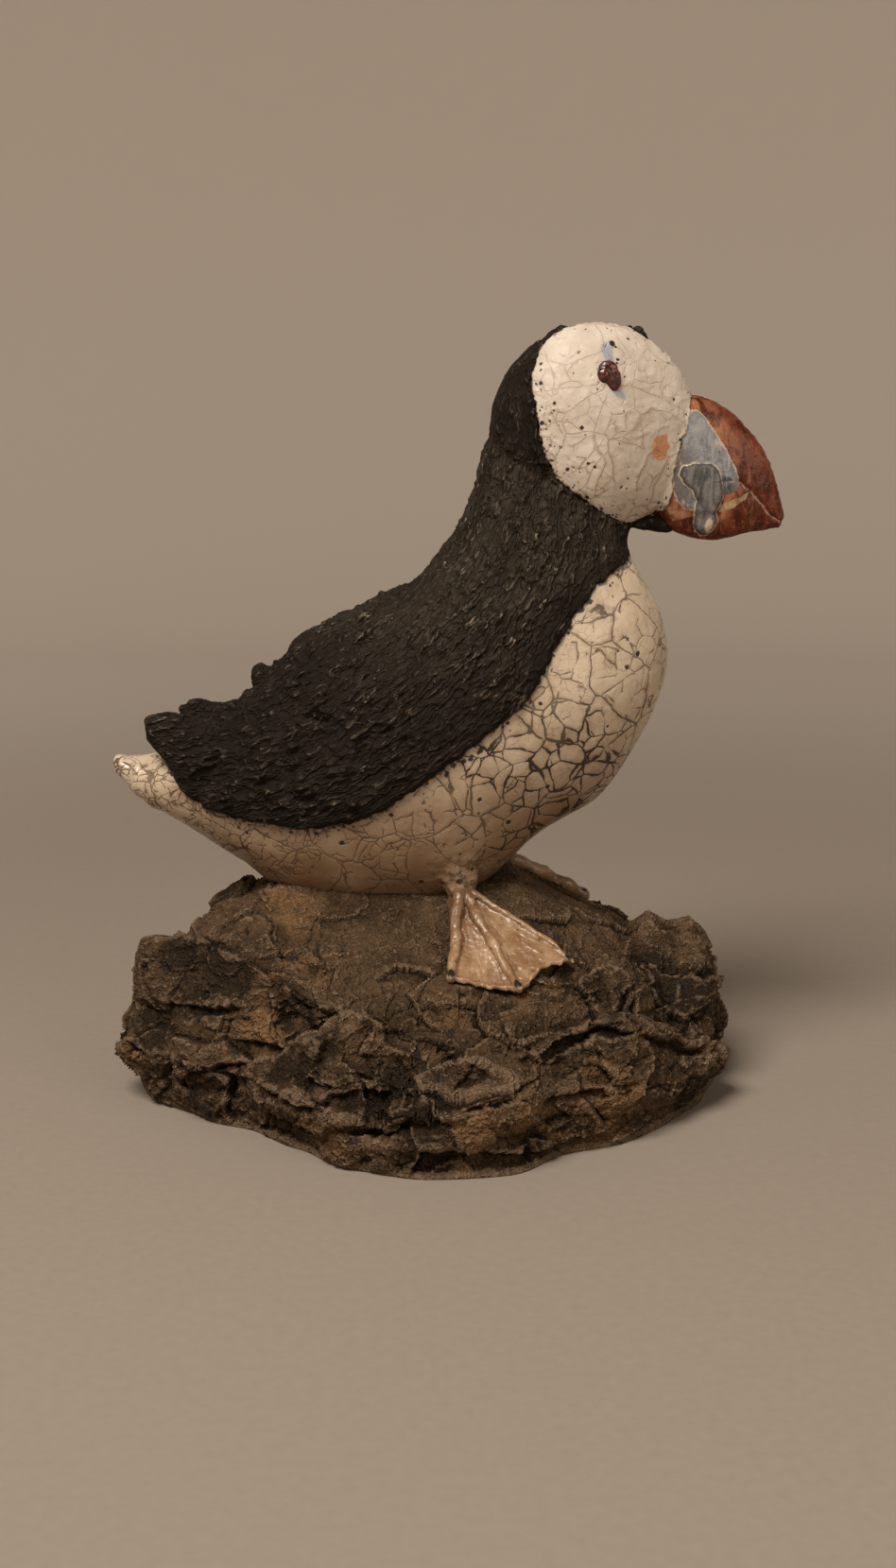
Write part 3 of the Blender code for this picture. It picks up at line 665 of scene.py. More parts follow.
def mantle_relief(points):
    """Thin ridges, flakes, swells, pits and crumbs, calm on the lips and under the face discs."""
    x, y, z = points.T
    brushed = swung(points)
    brushed[:, 2] += 2.2 * MM * noise(points, 13 * MM, 31) + 0.35 * MM * noise(points, 3 * MM, 30)
    strong = 0.35 + 0.65 * smooth_step(-x - 0.4 * z, -0.13, -0.02) + 0.25 * smooth_step(z, 0.225, 0.260)
    ridge = 1.25 * thin_ridges(brushed, (19 * MM, 6 * MM, 4.4 * MM), 0.22, 32)
    ridge = ridge + 0.65 * thin_ridges(brushed, (11 * MM, 4 * MM, 2.7 * MM), 0.26, 33)
    ridge = 1.15 * ridge * (0.15 + 0.85 * patches(points, 12, (-0.15, 0.35), 34))
    flaked = brushed * np.array((0.32, 1, 1)) + 0.9 * MM * noise(points, 3 * MM, 37)[:, None]
    level, border = plates(flaked, 6 * MM, 0.8, 38)
    flakes = 0.45 * level + 0.20 * bell(border, 0.5)
    swells = 1.30 * noise(brushed, (26 * MM, 9 * MM, 9 * MM), 35) + 0.35 * rough(points, 5 * MM, 2, 36)
    swells = swells + flakes + 1.1 * strong * patches(points, 7, (0.15, 0.7), 68)
    depth = mantle_depth(points)
    lip = smooth_step(depth, 1.0, 9.0)
    crumbs = dots(points, 4.0, 0.42, 62) * patches(points, 14, (0.05, 0.3), 63)
    pits = dots(points, 5.0, 0.34, 64)
    height = (ridge * strong + swells) * (0.20 + 0.80 * lip) + 2.4 * crumbs * lip - 2.0 * pits * lip
    for middle, radius, amount in MANTLE_MARKS:
        height = height + amount * (y < 0) * bump_at(points[:, [0, 2]], middle, radius)
    off_face = 1 - smooth_step(depth_inside(x, z, to_world(FACE_BORDER)) / MM, -1.0, 1.0)
    side_view = points[:, [0, 2]]
    crown = -1.0 + 2.8 * bump_at(side_view, (0.0495, 0.3015), 0.0045)
    crown = crown + 4.4 * bump_at(side_view, (0.0785, 0.2985), 0.0056)
    strip = crown * bell(y, 9 * MM) * smooth_step(z, 0.286, 0.294)
    strip = strip * smooth_step(x, 0.030, 0.045) * np.clip(0.70 + 1.2 * noise(points, 4 * MM, 66), 0, 1)
    rim = bump_at(np.stack([depth_inside(x, z, to_world(FACE_BORDER)) / MM], axis=1), (-1.3,), 1.7)
    rim = rim * (1 - smooth_step(x + 0.6 * z, 0.215, 0.232))
    crumbly = np.clip(0.25 + 1.5 * noise(points, 2.6 * MM, 69), 0, 1)
    return height * off_face - 1.2 * (1 - off_face) + 1.3 * strip + 1.5 * rim * crumbly


# Marks on the near wing: X and Z of the middle and the radius in metres, the height in millimetres.
MANTLE_MARKS = (
    ((-0.0741, 0.1358), 0.0042, -3.2),
    ((-0.0417, 0.1625), 0.0036, 3.0),
    ((-0.0385, 0.1580), 0.0028, 2.0),
    ((-0.0521, 0.1659), 0.0030, 2.4),
)
push_out(mantle_mesh, mantle_relief(points_of(mantle_mesh)))
mantle_mesh = thinned(mantle_mesh, MOST_TRIANGLES["black_mantle"])
paint(mantle_mesh, "height", relief_height(mantle_mesh, 10))
points = points_of(mantle_mesh)
# Painted shade: the lower part of the wing, which faces down, and the lip along the mantle's border are
# marked here and painted near-black in the black clay's finish.
low = 0.90 * smooth_step(-points[:, 2] - 0.3 * points[:, 0], -0.200, -0.150)
lip = 0.90 * (1 - smooth_step(mantle_depth(points), 3, 10))
paint(mantle_mesh, "soot_and_shade", np.maximum(low, lip) * (0.8 + 0.3 * noise(points, 11 * MM, 67)))

# %% [markdown]
# ## The face discs
#
# Each cheek carries a raised disc of clay under white glaze. A disc is laid on the head like a thin
# pancake: lines run from its middle out to its border, each is resampled at equal steps, and the last
# points turn in and under, so the disc has a rounded rim and a closed back inside the head.

# %% Discs on the cheeks
DISC_MIDDLE = (236, 684)
EYE_PLACE = (0.0676, 0.2831)
# Long hairlines across the disc, as X and Z in millimetres.
HAIRLINES = (((37.7, 276.2), (50, 278.4), (63.1, 279.5)), ((72.1, 279.9), (82.5, 277.0), (94.9, 272.1)),
             ((44, 291), (47, 281), (45.5, 270), (50, 262)), ((66, 274), (62, 262), (66, 251), (63, 240)))
DISC_RAISE = 1.3
BILL_ROOT = np.array([(288, 0, 639, 77), (296, 40, 639, 77), (336, 37, 627, 95), (362, 34, 617, 99)], float).T


def cheek_breadth(x, z):
    """Half the breadth of head and bill root at a point of the side view, softly taking the larger."""
    reach = np.clip(np.hypot(x - HEAD_X, z - HEAD_Z) / HEAD_RADIUS, 0, 1) ** (1 / HEAD_FULLNESS)
    taper = head_taper(FORWARD + x * SHARE)
    head = HEAD_WIDTH * np.sqrt(np.clip(1 - reach**2, 0, 1)) ** CHEEK_FULLNESS * taper
    width, middle, half = (np.interp(x, BILL_ROOT[0], row) for row in BILL_ROOT[1:])
    bill = width * np.clip(1 - ((z - middle) / half) ** 2, 0, 1) ** 0.4
    return 0.5 * (head + bill + np.sqrt((head - bill) ** 2 + 5.0**2)) - 1.0


def disc_reach(turn):
    """How far the border is from the middle in each direction: where the ray meets the outline."""
    border = np.array(FACE_BORDER, float) - DISC_MIDDLE
    reach = np.full(turn.shape, np.inf)
    for (x0, z0), (x1, z1) in zip(border, np.roll(border, -1, axis=0)):
        run_x, run_z = x1 - x0, z1 - z0
        cross = np.cos(turn) * run_z - np.sin(turn) * run_x + 1e-9
        along = (x0 * run_z - z0 * run_x) / cross
        share = (x0 * np.sin(turn) - z0 * np.cos(turn)) / cross
        hit = (along > 0) & (share >= -1e-6) & (share <= 1 + 1e-6)
        reach = np.where(hit, np.minimum(reach, along), reach)
    return sum(np.roll(reach, shift) for shift in range(-4, 5)) / 9


def disc_pits(points, seed):
    """Round pits, from 0 to 1: many along the lower rear rim and round the eye, few elsewhere."""
    x, z = points[:, 0], points[:, 2]
    from_rim = depth_inside(x, z, to_world(FACE_BORDER)) / MM
    lower_rear = smooth_step(-0.72 * x - 0.70 * z, -0.232, -0.212)
    ring = np.abs(np.hypot(x - EYE_PLACE[0], z - EYE_PLACE[1]) / MM - 5.8)
    share = 0.05 + 0.90 * lower_rear * smooth_step(-from_rim, -10, -1) + 0.15 * smooth_step(-from_rim, -4, -1)
    share = share + 0.35 * (1 - smooth_step(ring, 0.6, 2.0)) * (x < 0.070)
    pits = np.zeros(len(points))
    for extra, gap in ((4, 2.0), (6, 3.2)):
        nearest, _, bits, _ = nearest_points(points, gap * MM, seed + extra)
        radius = 0.20 + 0.28 * random_share(bits, 15)
        kept = random_share(bits, 7) < share
        pits = np.maximum(pits, kept * np.clip((radius + 0.15 - nearest * gap) / 0.3, 0, 1))
    return pits


def disc_grid(side, seed, rings=105, spokes=300):
    """The disc's front from its middle out, its rim and its back, and how far each point is from the rim."""
    turn = full_turn(spokes)
    ring = np.stack([np.cos(turn), np.sin(turn), np.zeros(spokes)], axis=1)
    ragged = 1.2 * noise(ring, 0.16, seed) + 1.3 * noise(ring, 0.05, seed + 1)
    reach = (disc_reach(turn) + ragged / (SHARE / MM) * 0.6)[:, None] * np.linspace(0, 1, 260)
    x = DISC_MIDDLE[0] + reach * np.cos(turn)[:, None]
    z = DISC_MIDDLE[1] + reach * np.sin(turn)[:, None]
    y = side * cheek_breadth(x, z)
    spokes_on_head = np.stack([FORWARD + x * SHARE, y * SHARE, HEIGHT + z * SHARE], axis=2)
    front = even_steps(spokes_on_head, rings).transpose(1, 0, 2)[1:]
    normals = grid_normals(front)
    normals *= np.sign((normals[..., 1] * side).mean())
    length = np.linalg.norm(front[-1] - front[0], axis=1) / MM
    from_rim = length * (1 - np.linspace(0, 1, rings)[1:, None])
    lip = np.sqrt(1 - (1 - np.clip(from_rim / 1.4, 0, 1)) ** 2)
    points = front.reshape(-1, 3)
    paste = 0.30 * noise(points, 11 * MM, seed + 2) + 0.13 * rough(points, 4 * MM, 2, seed + 3)
    paste = paste + 0.14 * thin_ridges(points, 9 * MM, 0.10, seed + 5)
    relief = (paste - 0.8 * disc_pits(points, seed)).reshape(front.shape[:2])
    top = front + normals * ((DISC_RAISE * lip + relief * smooth_step(from_rim, 0, 1.5)) * MM)[..., None]
    under = [front[-1] - normals[-1] * depth * MM for depth in (0.8, 1.8, 2.8)]
    inner = np.linspace(0.97, 0.05, 14)[:, None, None]
    back = front[0].mean(axis=0) + (front[-1] - front[0].mean(axis=0)) * inner
    back[..., 1] -= side * 2.8 * MM + side * 3 * MM * (1 - inner[..., 0])
    grid = np.concatenate([top, np.array(under), back])
    to_rim = np.zeros(grid.shape[:2])
    to_rim[:len(top)] = from_rim
    return grid, np.append(to_rim, (9, 0))


def oval_mark(x, z, middle, half_wide, half_tall, lean):
    """1 in the middle of a leaning oval, 0 on its outline and under 0 outside."""
    slope = math.radians(lean)
    one = (x - middle[0]) * math.cos(slope) + (z - middle[1]) * math.sin(slope)
    other = (z - middle[1]) * math.cos(slope) - (x - middle[0]) * math.sin(slope)
    return 1 - np.hypot(one / half_wide, other / half_tall)


disc_meshes = {}
for side, label, seed in ((-1, "near", 100), (1, "far", 120)):
    grid, to_rim = disc_grid(side, seed)
    mesh = skin(f"face_disc_{label}", grid)
    points = points_of(mesh)
    x_mm, _, z_mm = (points / MM).T
    above = oval_mark(x_mm, z_mm, (67.0, 291.9), 2.6, 4.7, 16)
    below = oval_mark(x_mm, z_mm, (71.2, 276.6), 3.2, 1.5, -35)
    paint(mesh, "blue", np.maximum(above, below))
    paint(mesh, "orange", oval_mark(x_mm, z_mm, (88.4, 256.6), 3.8, 5.9, -6))
    paint(mesh, "dot", oval_mark(x_mm, z_mm, (69.0, 295.3), 1.35, 1.25, 0))
    paint(mesh, "eye_crumbs", oval_mark(x_mm, z_mm, (72.0, 284.5), 9.0, 9.0, 0))
    paint(mesh, "pits", disc_pits(points, seed))
    wander = 0.9 * noise(points, 6 * MM, seed + 7)
    hairlines = [signed_distance(x_mm, z_mm, line) for line in HAIRLINES]
    nearest = np.argmin(np.abs(hairlines), axis=0)
    paint(mesh, "hairline", np.take_along_axis(np.array(hairlines), nearest[None], 0)[0] + wander)
    paint(mesh, "from_rim", to_rim)
    disc_meshes[label] = mesh

# %% [markdown]
# ## Eyes
#
# An eye is a bead of dark glass glaze that ran a little before it froze. Three flattened balls run
# together, and uneven, look more like it than one clean ball.

# %% Eyes
# How far the drops' middles stand over the cheek, half their depth, and each one's X, Z, half width and
# half height, all in millimetres.
EYE_RAISE, EYE_DEPTH = 1.5, 1.9
EYE_DROPS = ((66.9, 285.2, 3.9, 3.5), (69.0, 281.6, 3.1, 4.3), (65.4, 283.2, 2.7, 3.0))


def eye_mesh(label, side, seed):
    """Flattened balls half sunk in the cheek, their common skin pushed about by noise."""
    tilt = np.linspace(0.03, math.pi - 0.03, 50)[:, None]
    turn = full_turn(60)[None, :]
    shape = np.broadcast_arrays(np.sin(tilt) * np.cos(turn), np.cos(tilt), np.sin(tilt) * np.sin(turn))
    ball = np.stack(shape, axis=2)
    parts = []
    for x, z, wide, high in EYE_DROPS:
        share_x, share_z = (x / 1000 - FORWARD) / SHARE, (z / 1000 - HEIGHT) / SHARE
        breadth = cheek_breadth(np.array([share_x]), np.array([share_z]))[0]
        middle = np.array((x * MM, side * (breadth * SHARE + EYE_RAISE * MM), z * MM))
        parts.append(skin("drop", middle + ball * np.array((wide, EYE_DEPTH, high)) * MM))
    mesh = pressed(f"eye_{label}", parts, 0.22 * MM, 16)
    push_out(mesh, 0.22 * noise(points_of(mesh), 2.2 * MM, seed))
    return mesh


eye_meshes = {label: eye_mesh(label, side, 9) for side, label in ((-1, "near"), (1, "far"))}

# %% [markdown]
# ## The bill
#
# The deep bill is flattened at the sides and ends in a blunt hook. Its glazes are drawn as outlines
# in the side view, in millimetres of the frame: each point of the mesh is told its distance to every
# outline, and the material turns the distances into colour with a ragged edge.

# %% Bill form
GLAZE_OUTLINES = {
    "patch": ((100.1, 270.6), (103.0, 270.8), (106.2, 268.2), (109.6, 263.5), (113.0, 258.3), (116.0, 253.4),
              (118.6, 248.6), (119.9, 244.2), (117.6, 243.0), (114.0, 240.5), (113.9, 237.4), (111.5, 232.4),
              (104.0, 232.4), (99.5, 233.6), (96.4, 236.2), (94.4, 241.0), (94.0, 248.0), (96.4, 254.0),
              (97.0, 262.6), (98.2, 267.0)),
    "bell": ((96.4, 246.5), (97.0, 249.4), (101.6, 250.9), (108.6, 250.7), (110.9, 249.3), (112.4, 246.5),
             (113.6, 242.0), (113.9, 237.9), (112.9, 235.1), (111.4, 231.8), (112.3, 228.9), (111.3, 225.9),
             (108.9, 223.4), (106.3, 223.0), (104.1, 224.6), (103.0, 227.3), (103.0, 232.6), (103.4, 236.7),
             (101.6, 240.6), (98.2, 243.4)),
    "slate": ((112.0, 246.9), (115.3, 245.9), (119.5, 244.2), (120.8, 242.8), (119.6, 240.8), (117.2, 239.1),
              (114.3, 238.3), (113.4, 241.6)),
    "peach": ((92.7, 236.7), (95.3, 237.1), (98.3, 234.3), (103.5, 233.2), (103.5, 230.6), (98.8, 229.2),
              (94.5, 228.3), (92.4, 232.6)),
    "straw": ((112.4, 234.6), (118.0, 236.6), (121.2, 238.2), (124.3, 239.6), (122.9, 236.7), (117.6, 233.3),
              (112.4, 231.5)),
}
MOUTH_LINE = ((113.6, 243.6), (119.7, 244.2), (122.0, 242.2), (124.6, 240.4), (126.5, 238.3), (128.8, 235.9),
              (131.4, 233.0), (133.1, 230.8), (138.0, 227.9))


BILL_SIDES = 200
# Millimetres from one side of a ring to the next near the ridge, and from the ridge to the lower edge.
SIDE_STEP, HALF_WAY_ROUND = 0.55, 55


def bill_rings():
    """Lofted lens rings; past the last station they shrink by a quarter circle into a blunt tip."""
    table = even_rows(BILL_STATIONS, 215)
    share = np.linspace(0, 1, 16)[1:, None]
    shrink = np.sqrt(1 - share**2 * 0.985)
    middle = (table[-1, 0:2] + table[-1, 2:4]) / 2 + share * np.array((5.0, -2.5))
    half = (table[-1, 0:2] - table[-1, 2:4]) / 2 * shrink
    tip = np.hstack([middle + half, middle - half, table[-1, 4:5] * shrink])
    return lens_rings(np.vstack([table, tip]), BILL_SIDES, 0.8)


bill_grid = bill_rings()
bill_normals = grid_normals(bill_grid)
places = bill_grid.reshape(-1, 3)
x_mm, z_mm = places[:, 0] / MM, places[:, 2] / MM
wander = 0.35 * noise(places, 2.2 * MM, 71)
depths = {name: depth_inside(x_mm, z_mm, np.array(line)) + wander for name, line in GLAZE_OUTLINES.items()}
mouth = np.abs(signed_distance(x_mm, z_mm, MOUTH_LINE) + 1.6 * wander)
from_ridge = np.minimum(np.arange(BILL_SIDES), BILL_SIDES - np.arange(BILL_SIDES))
culmen_mm = np.tile(from_ridge, len(bill_grid)) * SIDE_STEP
crest = bell(culmen_mm, 1.1) * (0.45 + 0.45 * np.clip(rough(places, 4 * MM, 2, 72), -0.5, 1))
lower = np.clip(depths["bell"] / 1.6, 0, 1)
relief = 0.9 * np.sqrt(lower * (2 - lower)) + 0.35 * smooth_step(depths["patch"], 0, 0.8)
relief = relief + 0.30 * bell(depths["patch"] - 0.1, 0.5)
relief = relief - 0.55 * bell(mouth, 0.7) + 0.22 * rough(places, 6 * MM, 3, 73)
relief = relief + 0.8 * bump_at(places[:, [0, 2]], (0.1072, 0.2262), 0.0026) + crest
bill_grid = bill_grid + bill_normals * (relief * MM).reshape(bill_grid.shape[:2])[..., None]
bill_mesh = skin("bill", bill_grid)
for name, depth in depths.items():
    paint(bill_mesh, name, np.append(depth, (-9, -9)))
paint(bill_mesh, "drop", np.append(2 * oval_mark(x_mm, z_mm, (108.9, 227.3), 1.9, 3.3, -10), (-9, -9)))
paint(bill_mesh, "mouth", np.append(mouth, (9, 9)))
# How far a point is from the ridge and from the lower edge, where a pale line is painted as a highlight.
paint(bill_mesh, "culmen", np.append(np.minimum(culmen_mm, 0.8 * (HALF_WAY_ROUND - culmen_mm)), (9, 9)))

# %% [markdown]
# ## The rock
#
# A block of coarse clay, torn and pressed by hand. Seen from above it is a height over each point of
# the plan: a level top that carries the bird, slopes that fall off it, crags and hollows. Rings go
# out over the top to the rim and then down the undercut side. It uses the model's own formulas, and
# finer relief is added along the normals.

# %% Rock: the model's own form
ROCK_LENGTH, ROCK_DEPTH, ROCK_HEIGHT = 0.254, 0.222, 0.086
ALONG_UNIT, ACROSS_UNIT, RISE_UNIT = ROCK_LENGTH / 254, ROCK_DEPTH / 222, ROCK_HEIGHT / 86
TOP_FROM, TOP_TO, TOP_ASIDE = -60, 33, 16
# Going round from the left through the front: radius of the foot, radius of the rim, height of the rim.
RIM = (
    (118, 127, 25), (114, 129, 24), (102, 113, 24), (93, 99, 25), (96, 103, 24), (106, 110, 21),
    (111, 113, 26), (111, 110, 30), (101, 104, 27), (106, 110, 23), (108, 114, 19), (113, 118, 21),
    (117, 124, 25), (118, 124, 27), (112, 117, 27), (105, 111, 25), (101, 107, 27), (103, 106, 28),
    (105, 109, 26), (102, 108, 24), (101, 107, 26), (105, 112, 28), (111, 118, 26), (117, 124, 24),
)
# Blunt crests: points of the line, then the slopes on its two sides.
CRESTS = (
    (((-119, -26, 60), (-108, -29, 68), (-95, -33, 69), (-78, -46, 66), (-60, -58, 59)), 2.2, 0.45),
    (((-120, -28, 60), (-122, -44, 44)), 2.0, 2.0),
    (((-100, -60, 44), (-88, -65, 47), (-76, -66, 45)), 1.8, 0.2),
    (((83, 2, 66), (89, 1, 70), (97, 3, 66), (106, 2, 69), (112, 3, 62)), 1.1, 2.0),
    (((111, 1, 63), (114, -20, 52), (117, -40, 37)), 2.5, 0.9),
    (((36, -90, 34), (47, -78, 44), (62, -72, 48), (80, -71, 44), (99, -74, 35)), 3.5, 0.3),
    (((-34, -84, 45), (-20, -78, 51), (-6, -84, 46)), 2.2, 0.3),
    (((-44, 58, 60), (-20, 66, 57), (8, 62, 58)), 0.5, 1.1),
    (((96, 40, 46), (80, 62, 46), (60, 78, 40)), 0.6, 1.5),
)
# Dents: X, Y, turn in degrees, half length, width to the far and to the near side, depth.
HOLLOWS = (
    (-94, -50, -28, 26, 8, 14, 18), (-56, -80, -72, 16, 5, 6, 8), (68, -80, 4, 25, 5, 13, 13),
    (-20, -90, 4, 15, 5, 9, 6), (92, -18, 20, 15, 10, 14, 8), (20, -92, 20, 12, 6, 8, 5),
    (52, 74, -20, 20, 8, 12, 6), (-70, 62, 30, 22, 10, 14, 6),
)
# Clefts in the side: direction in degrees, height as a share, breadth in degrees, share of height, depth.
CLEFTS = (
    (-96, 0.74, 9, 0.15, 8), (-150, 0.62, 14, 0.16, 5), (-118, 0.50, 9, 0.14, 4), (-66, 0.45, 10, 0.18, 3),
    (-12, 0.55, 10, 0.20, 5), (70, 0.55, 16, 0.20, 4), (150, 0.60, 16, 0.20, 4),
)


def soft_excess(value, limit):
    """How far value is past limit, rounded off near it."""
    over = value - limit
    return 0.5 * (over + np.sqrt(over**2 + 81)) - 4.5 * bell(over, 9)


def crest_surface(x, y, line, near_slope, far_slope):
    """Two slopes that meet in a blunt line: the line's height less a slope times the distance from it."""
    highest = np.full(np.shape(x), -1000.0)
    for start, end in zip(line, line[1:]):
        share, away, side = from_stretch(x, y, start, end)
        slope = np.where(side > 0, near_slope, far_slope)
        level = start[2] + (end[2] - start[2]) * share
        highest = np.maximum(highest, level - slope * np.maximum(away - 1.5, 0))
    return highest


def hollow_depth(x, y, place_x, place_y, turn, half_length, far_width, near_width, depth):
    """A dent along a line, each side with its own width."""
    angle = math.radians(turn)
    along = (x - place_x) * math.cos(angle) + (y - place_y) * math.sin(angle)
    across = (y - place_y) * math.cos(angle) - (x - place_x) * math.sin(angle)
    width = np.where(across > 0, far_width, near_width)
    return depth * np.exp(-((along / half_length) ** 4) - (across / width) ** 2)


def rim_at(turn):
    """Radius of the foot, radius of the rim and height of the rim in each direction."""
    table = np.array(RIM + RIM[:1] * 2, float)
    place = (turn + math.pi) % math.tau / math.tau * len(RIM)
    start = place.astype(int)
    share = (place - start)[..., None]
    ease = share * share * (3 - 2 * share)
    ring = table[start] * (1 - ease) + table[start + 1] * share * share * (3 - 2 * share)
    return ring[..., 0], ring[..., 1], ring[..., 2]


def rock_top(world_x, world_y):
    """Height of the upper surface: the level top and its slopes less the hollows, or the crests if higher."""
    x, y = np.asarray(world_x) / ALONG_UNIT, np.asarray(world_y) / ACROSS_UNIT
    _, rim_radius, rim_height = rim_at(np.arctan2(y, x))
    outwards = np.hypot(x, y) / rim_radius
    along = 0.50 * (soft_excess(-x, -TOP_FROM) + soft_excess(x, TOP_TO))
    across = 0.62 * (soft_excess(-y, TOP_ASIDE) + soft_excess(y, TOP_ASIDE))
    height = 86 - np.hypot(along, across)
    height = height + (rim_height - height) * smooth_step(outwards, 0.74, 1.0)
    for hollow in HOLLOWS:
        height = height - hollow_depth(x, y, *hollow)
    for crest in CRESTS:
        height = np.maximum(height, crest_surface(x, y, *crest))
    lumps = 1.1 * np.sin(0.16 * x + 0.05 * y) * np.cos(0.13 * y - 0.06 * x)
    height = height + lumps * smooth_step(np.hypot(x / 1.6, y), 30, 60)
    height = height + (rim_height - height) * smooth_step(outwards, 0.91, 1.0)
    return RISE_UNIT * height


# %% Rock: rings over the top and down the side
ROCK_SIDES = 1000
FRONT_SHARE = 0.35


def rock_rings(rings=200):
    """Profiles over the top and down the side, in every direction, closest together in front."""
    turn = np.linspace(-math.pi, math.pi, ROCK_SIDES, endpoint=False)
    turn = turn - FRONT_SHARE * np.cos(turn)
    foot, rim, rim_height = rim_at(turn)
    share = np.linspace(0.20, 1, 300)[:, None]
    x = rim * share * np.cos(turn) * ALONG_UNIT
    y = rim * share * np.sin(turn) * ACROSS_UNIT
    top = np.stack([x, y, rock_top(x, y)], axis=2)
    step = np.linspace(0.02, 1, 120)[:, None]
    radius = rim + (foot - rim) * step + 1.6 * np.sin(math.pi * np.minimum(1, step * 1.6))
    for angle, height, wide, high, depth in CLEFTS:
        aside = (np.degrees(turn) - angle + 180) % 360 - 180
        radius = radius - depth * np.exp(-((aside / wide) ** 2) - ((1 - step - height) / high) ** 2)
    side_z = rim_height * (1 - step) * RISE_UNIT
    side = np.stack([radius * ALONG_UNIT * np.cos(turn), radius * ACROSS_UNIT * np.sin(turn), side_z], axis=2)
    return even_steps(np.concatenate([top, side]).transpose(1, 0, 2), rings).transpose(1, 0, 2)


# %% [markdown]
# Torn clay shows forms of every size. Where layers tore away they left plates with sharp edges, some
# with a thin raised lip and some with a crack beside them, so plates of three sizes are laid over one
# another. Worms where the grog dragged, and pits where crumbs fell out, come on top. Under the bird
# and its feet the relief stays low, so that it still sits on the rock.

# %% Rock relief
PLATE_SIZES = ((34, 2.5, 1.5, 202), (15, 1.0, 1.5, 203), (6.5, 0.22, 1.2, 204))
# Torn edges as X, Y and Z in millimetres, how far the lip stands out, and how deep it is cut below.
LEDGES = (
    (((-117, -40, 27), (-92, -61, 23), (-70, -70, 25), (-46, -94, 22)), 1.9, 3.2),
    (((38, -87, 37), (46, -81, 41), (65, -73, 45), (84, -61, 37), (104, -42, 25)), 1.6, 3.2),
    (((-17, -105, 19), (-8, -108, 21), (2, -110, 26)), 1.0, 3.6),
    (((-100, -40, 44), (-86, -53, 46), (-76, -58, 48)), 1.6, 3.0),
    (((-38, -95, 23), (-27, -95, 27), (-19, -95, 27)), 0.7, 3.5),
    (((30, -96, 27), (45, -92, 25), (62, -86, 24), (78, -79, 24)), 1.2, 2.4),
    (((-72, -66, 36), (-58, -73, 38), (-47, -78, 40)), 1.1, 2.6),
    (((-14, -88, 46), (2, -80, 52), (20, -77, 52)), 0.9, 2.0),
    (((96, 52, 40), (74, 74, 38), (40, 92, 34)), 1.2, 3.0),
    (((-30, 92, 34), (-62, 84, 36), (-92, 62, 32)), 1.2, 3.0),
)


# Where smoke gathered, with painted shade in scoops, clefts and under lips, and where iron bled out, as
# X, Y, Z and radius in millimetres.
SOOT_AND_SHADE_SPOTS = (
    (-98, -37, 62, 9), (-83, -47, 60, 9), (-74, -54, 57, 7), (-114, -38, 35, 10), (-107, -44, 33, 8),
    (-98, -48, 15, 11), (-82, -64, 20, 8), (-54, -82, 31, 8), (-25, -98, 22, 9), (-2, -110, 20, 9),
    (1, -112, 9, 12), (69, -73, 41, 8), (51, -80, 38, 8), (37, -101, 7, 11), (102, -45, 6, 14),
    (110, -18, 42, 11), (84, -22, 53, 10), (92, -26, 43, 10), (53, -52, 62, 8), (63, -57, 54, 7),
    (-12, -91, 34, 7), (-36, -86, 44, 7), (-43, -88, 33, 7), (100, -26, 40, 8), (122, -9, 26, 9),
    (-91, -50, 45, 7), (70, 80, 20, 16), (-60, 84, 18, 16), (-110, 20, 20, 14),
)
RUSTED = (
    (-65, -67, 36, 10), (42, -98, 19, 14), (-79, -62, 14, 11), (68, -84, 19, 14), (-30, -98, 12, 11),
    (16, -111, 15, 8), (-104, -50, 22, 7), (-43, -93, 14, 9), (20, 100, 16, 14), (104, 30, 16, 12),
)


def near_line(place, line):
    """Distance to the nearest stretch of a line through space, and the line's own height there."""
    nearest, level = np.full(len(place), np.inf), np.zeros(len(place))
    for start, end in zip(np.array(line, float), np.array(line, float)[1:]):
        run = end - start
        share = np.clip((place - start) @ run / (run @ run), 0, 1)
        on_line = start + share[:, None] * run
        away = np.linalg.norm(place - on_line, axis=1)
        level = np.where(away < nearest, on_line[:, 2], level)
        nearest = np.minimum(nearest, away)
    return nearest, level


def ledge_relief(points):
    """Lips and undercuts: by how far a point is above or below the nearest torn edge."""
    ragged = 3.0 * noise(points, 13 * MM, 221) + 1.2 * noise(points, 4 * MM, 222)
    place = points / MM
    height = np.zeros(len(points))
    for line, lip, cut in LEDGES:
        nearest, level = near_line(place, line)
        over = nearest * np.sign(place[:, 2] - level) + ragged
        above = smooth_step(over, -0.6, 0.4)
        height = height + above * lip * bell(over, 6) - (1 - above) * cut * bell(over, 3.8)
    return height


def spots(points, table):
    """Round soft spots from 0 to 1, given as X, Y, Z and radius in millimetres."""
    return np.clip(sum(bump_at(points / MM, spot[:3], spot[3]) for spot in np.array(table, float)), 0, 1)


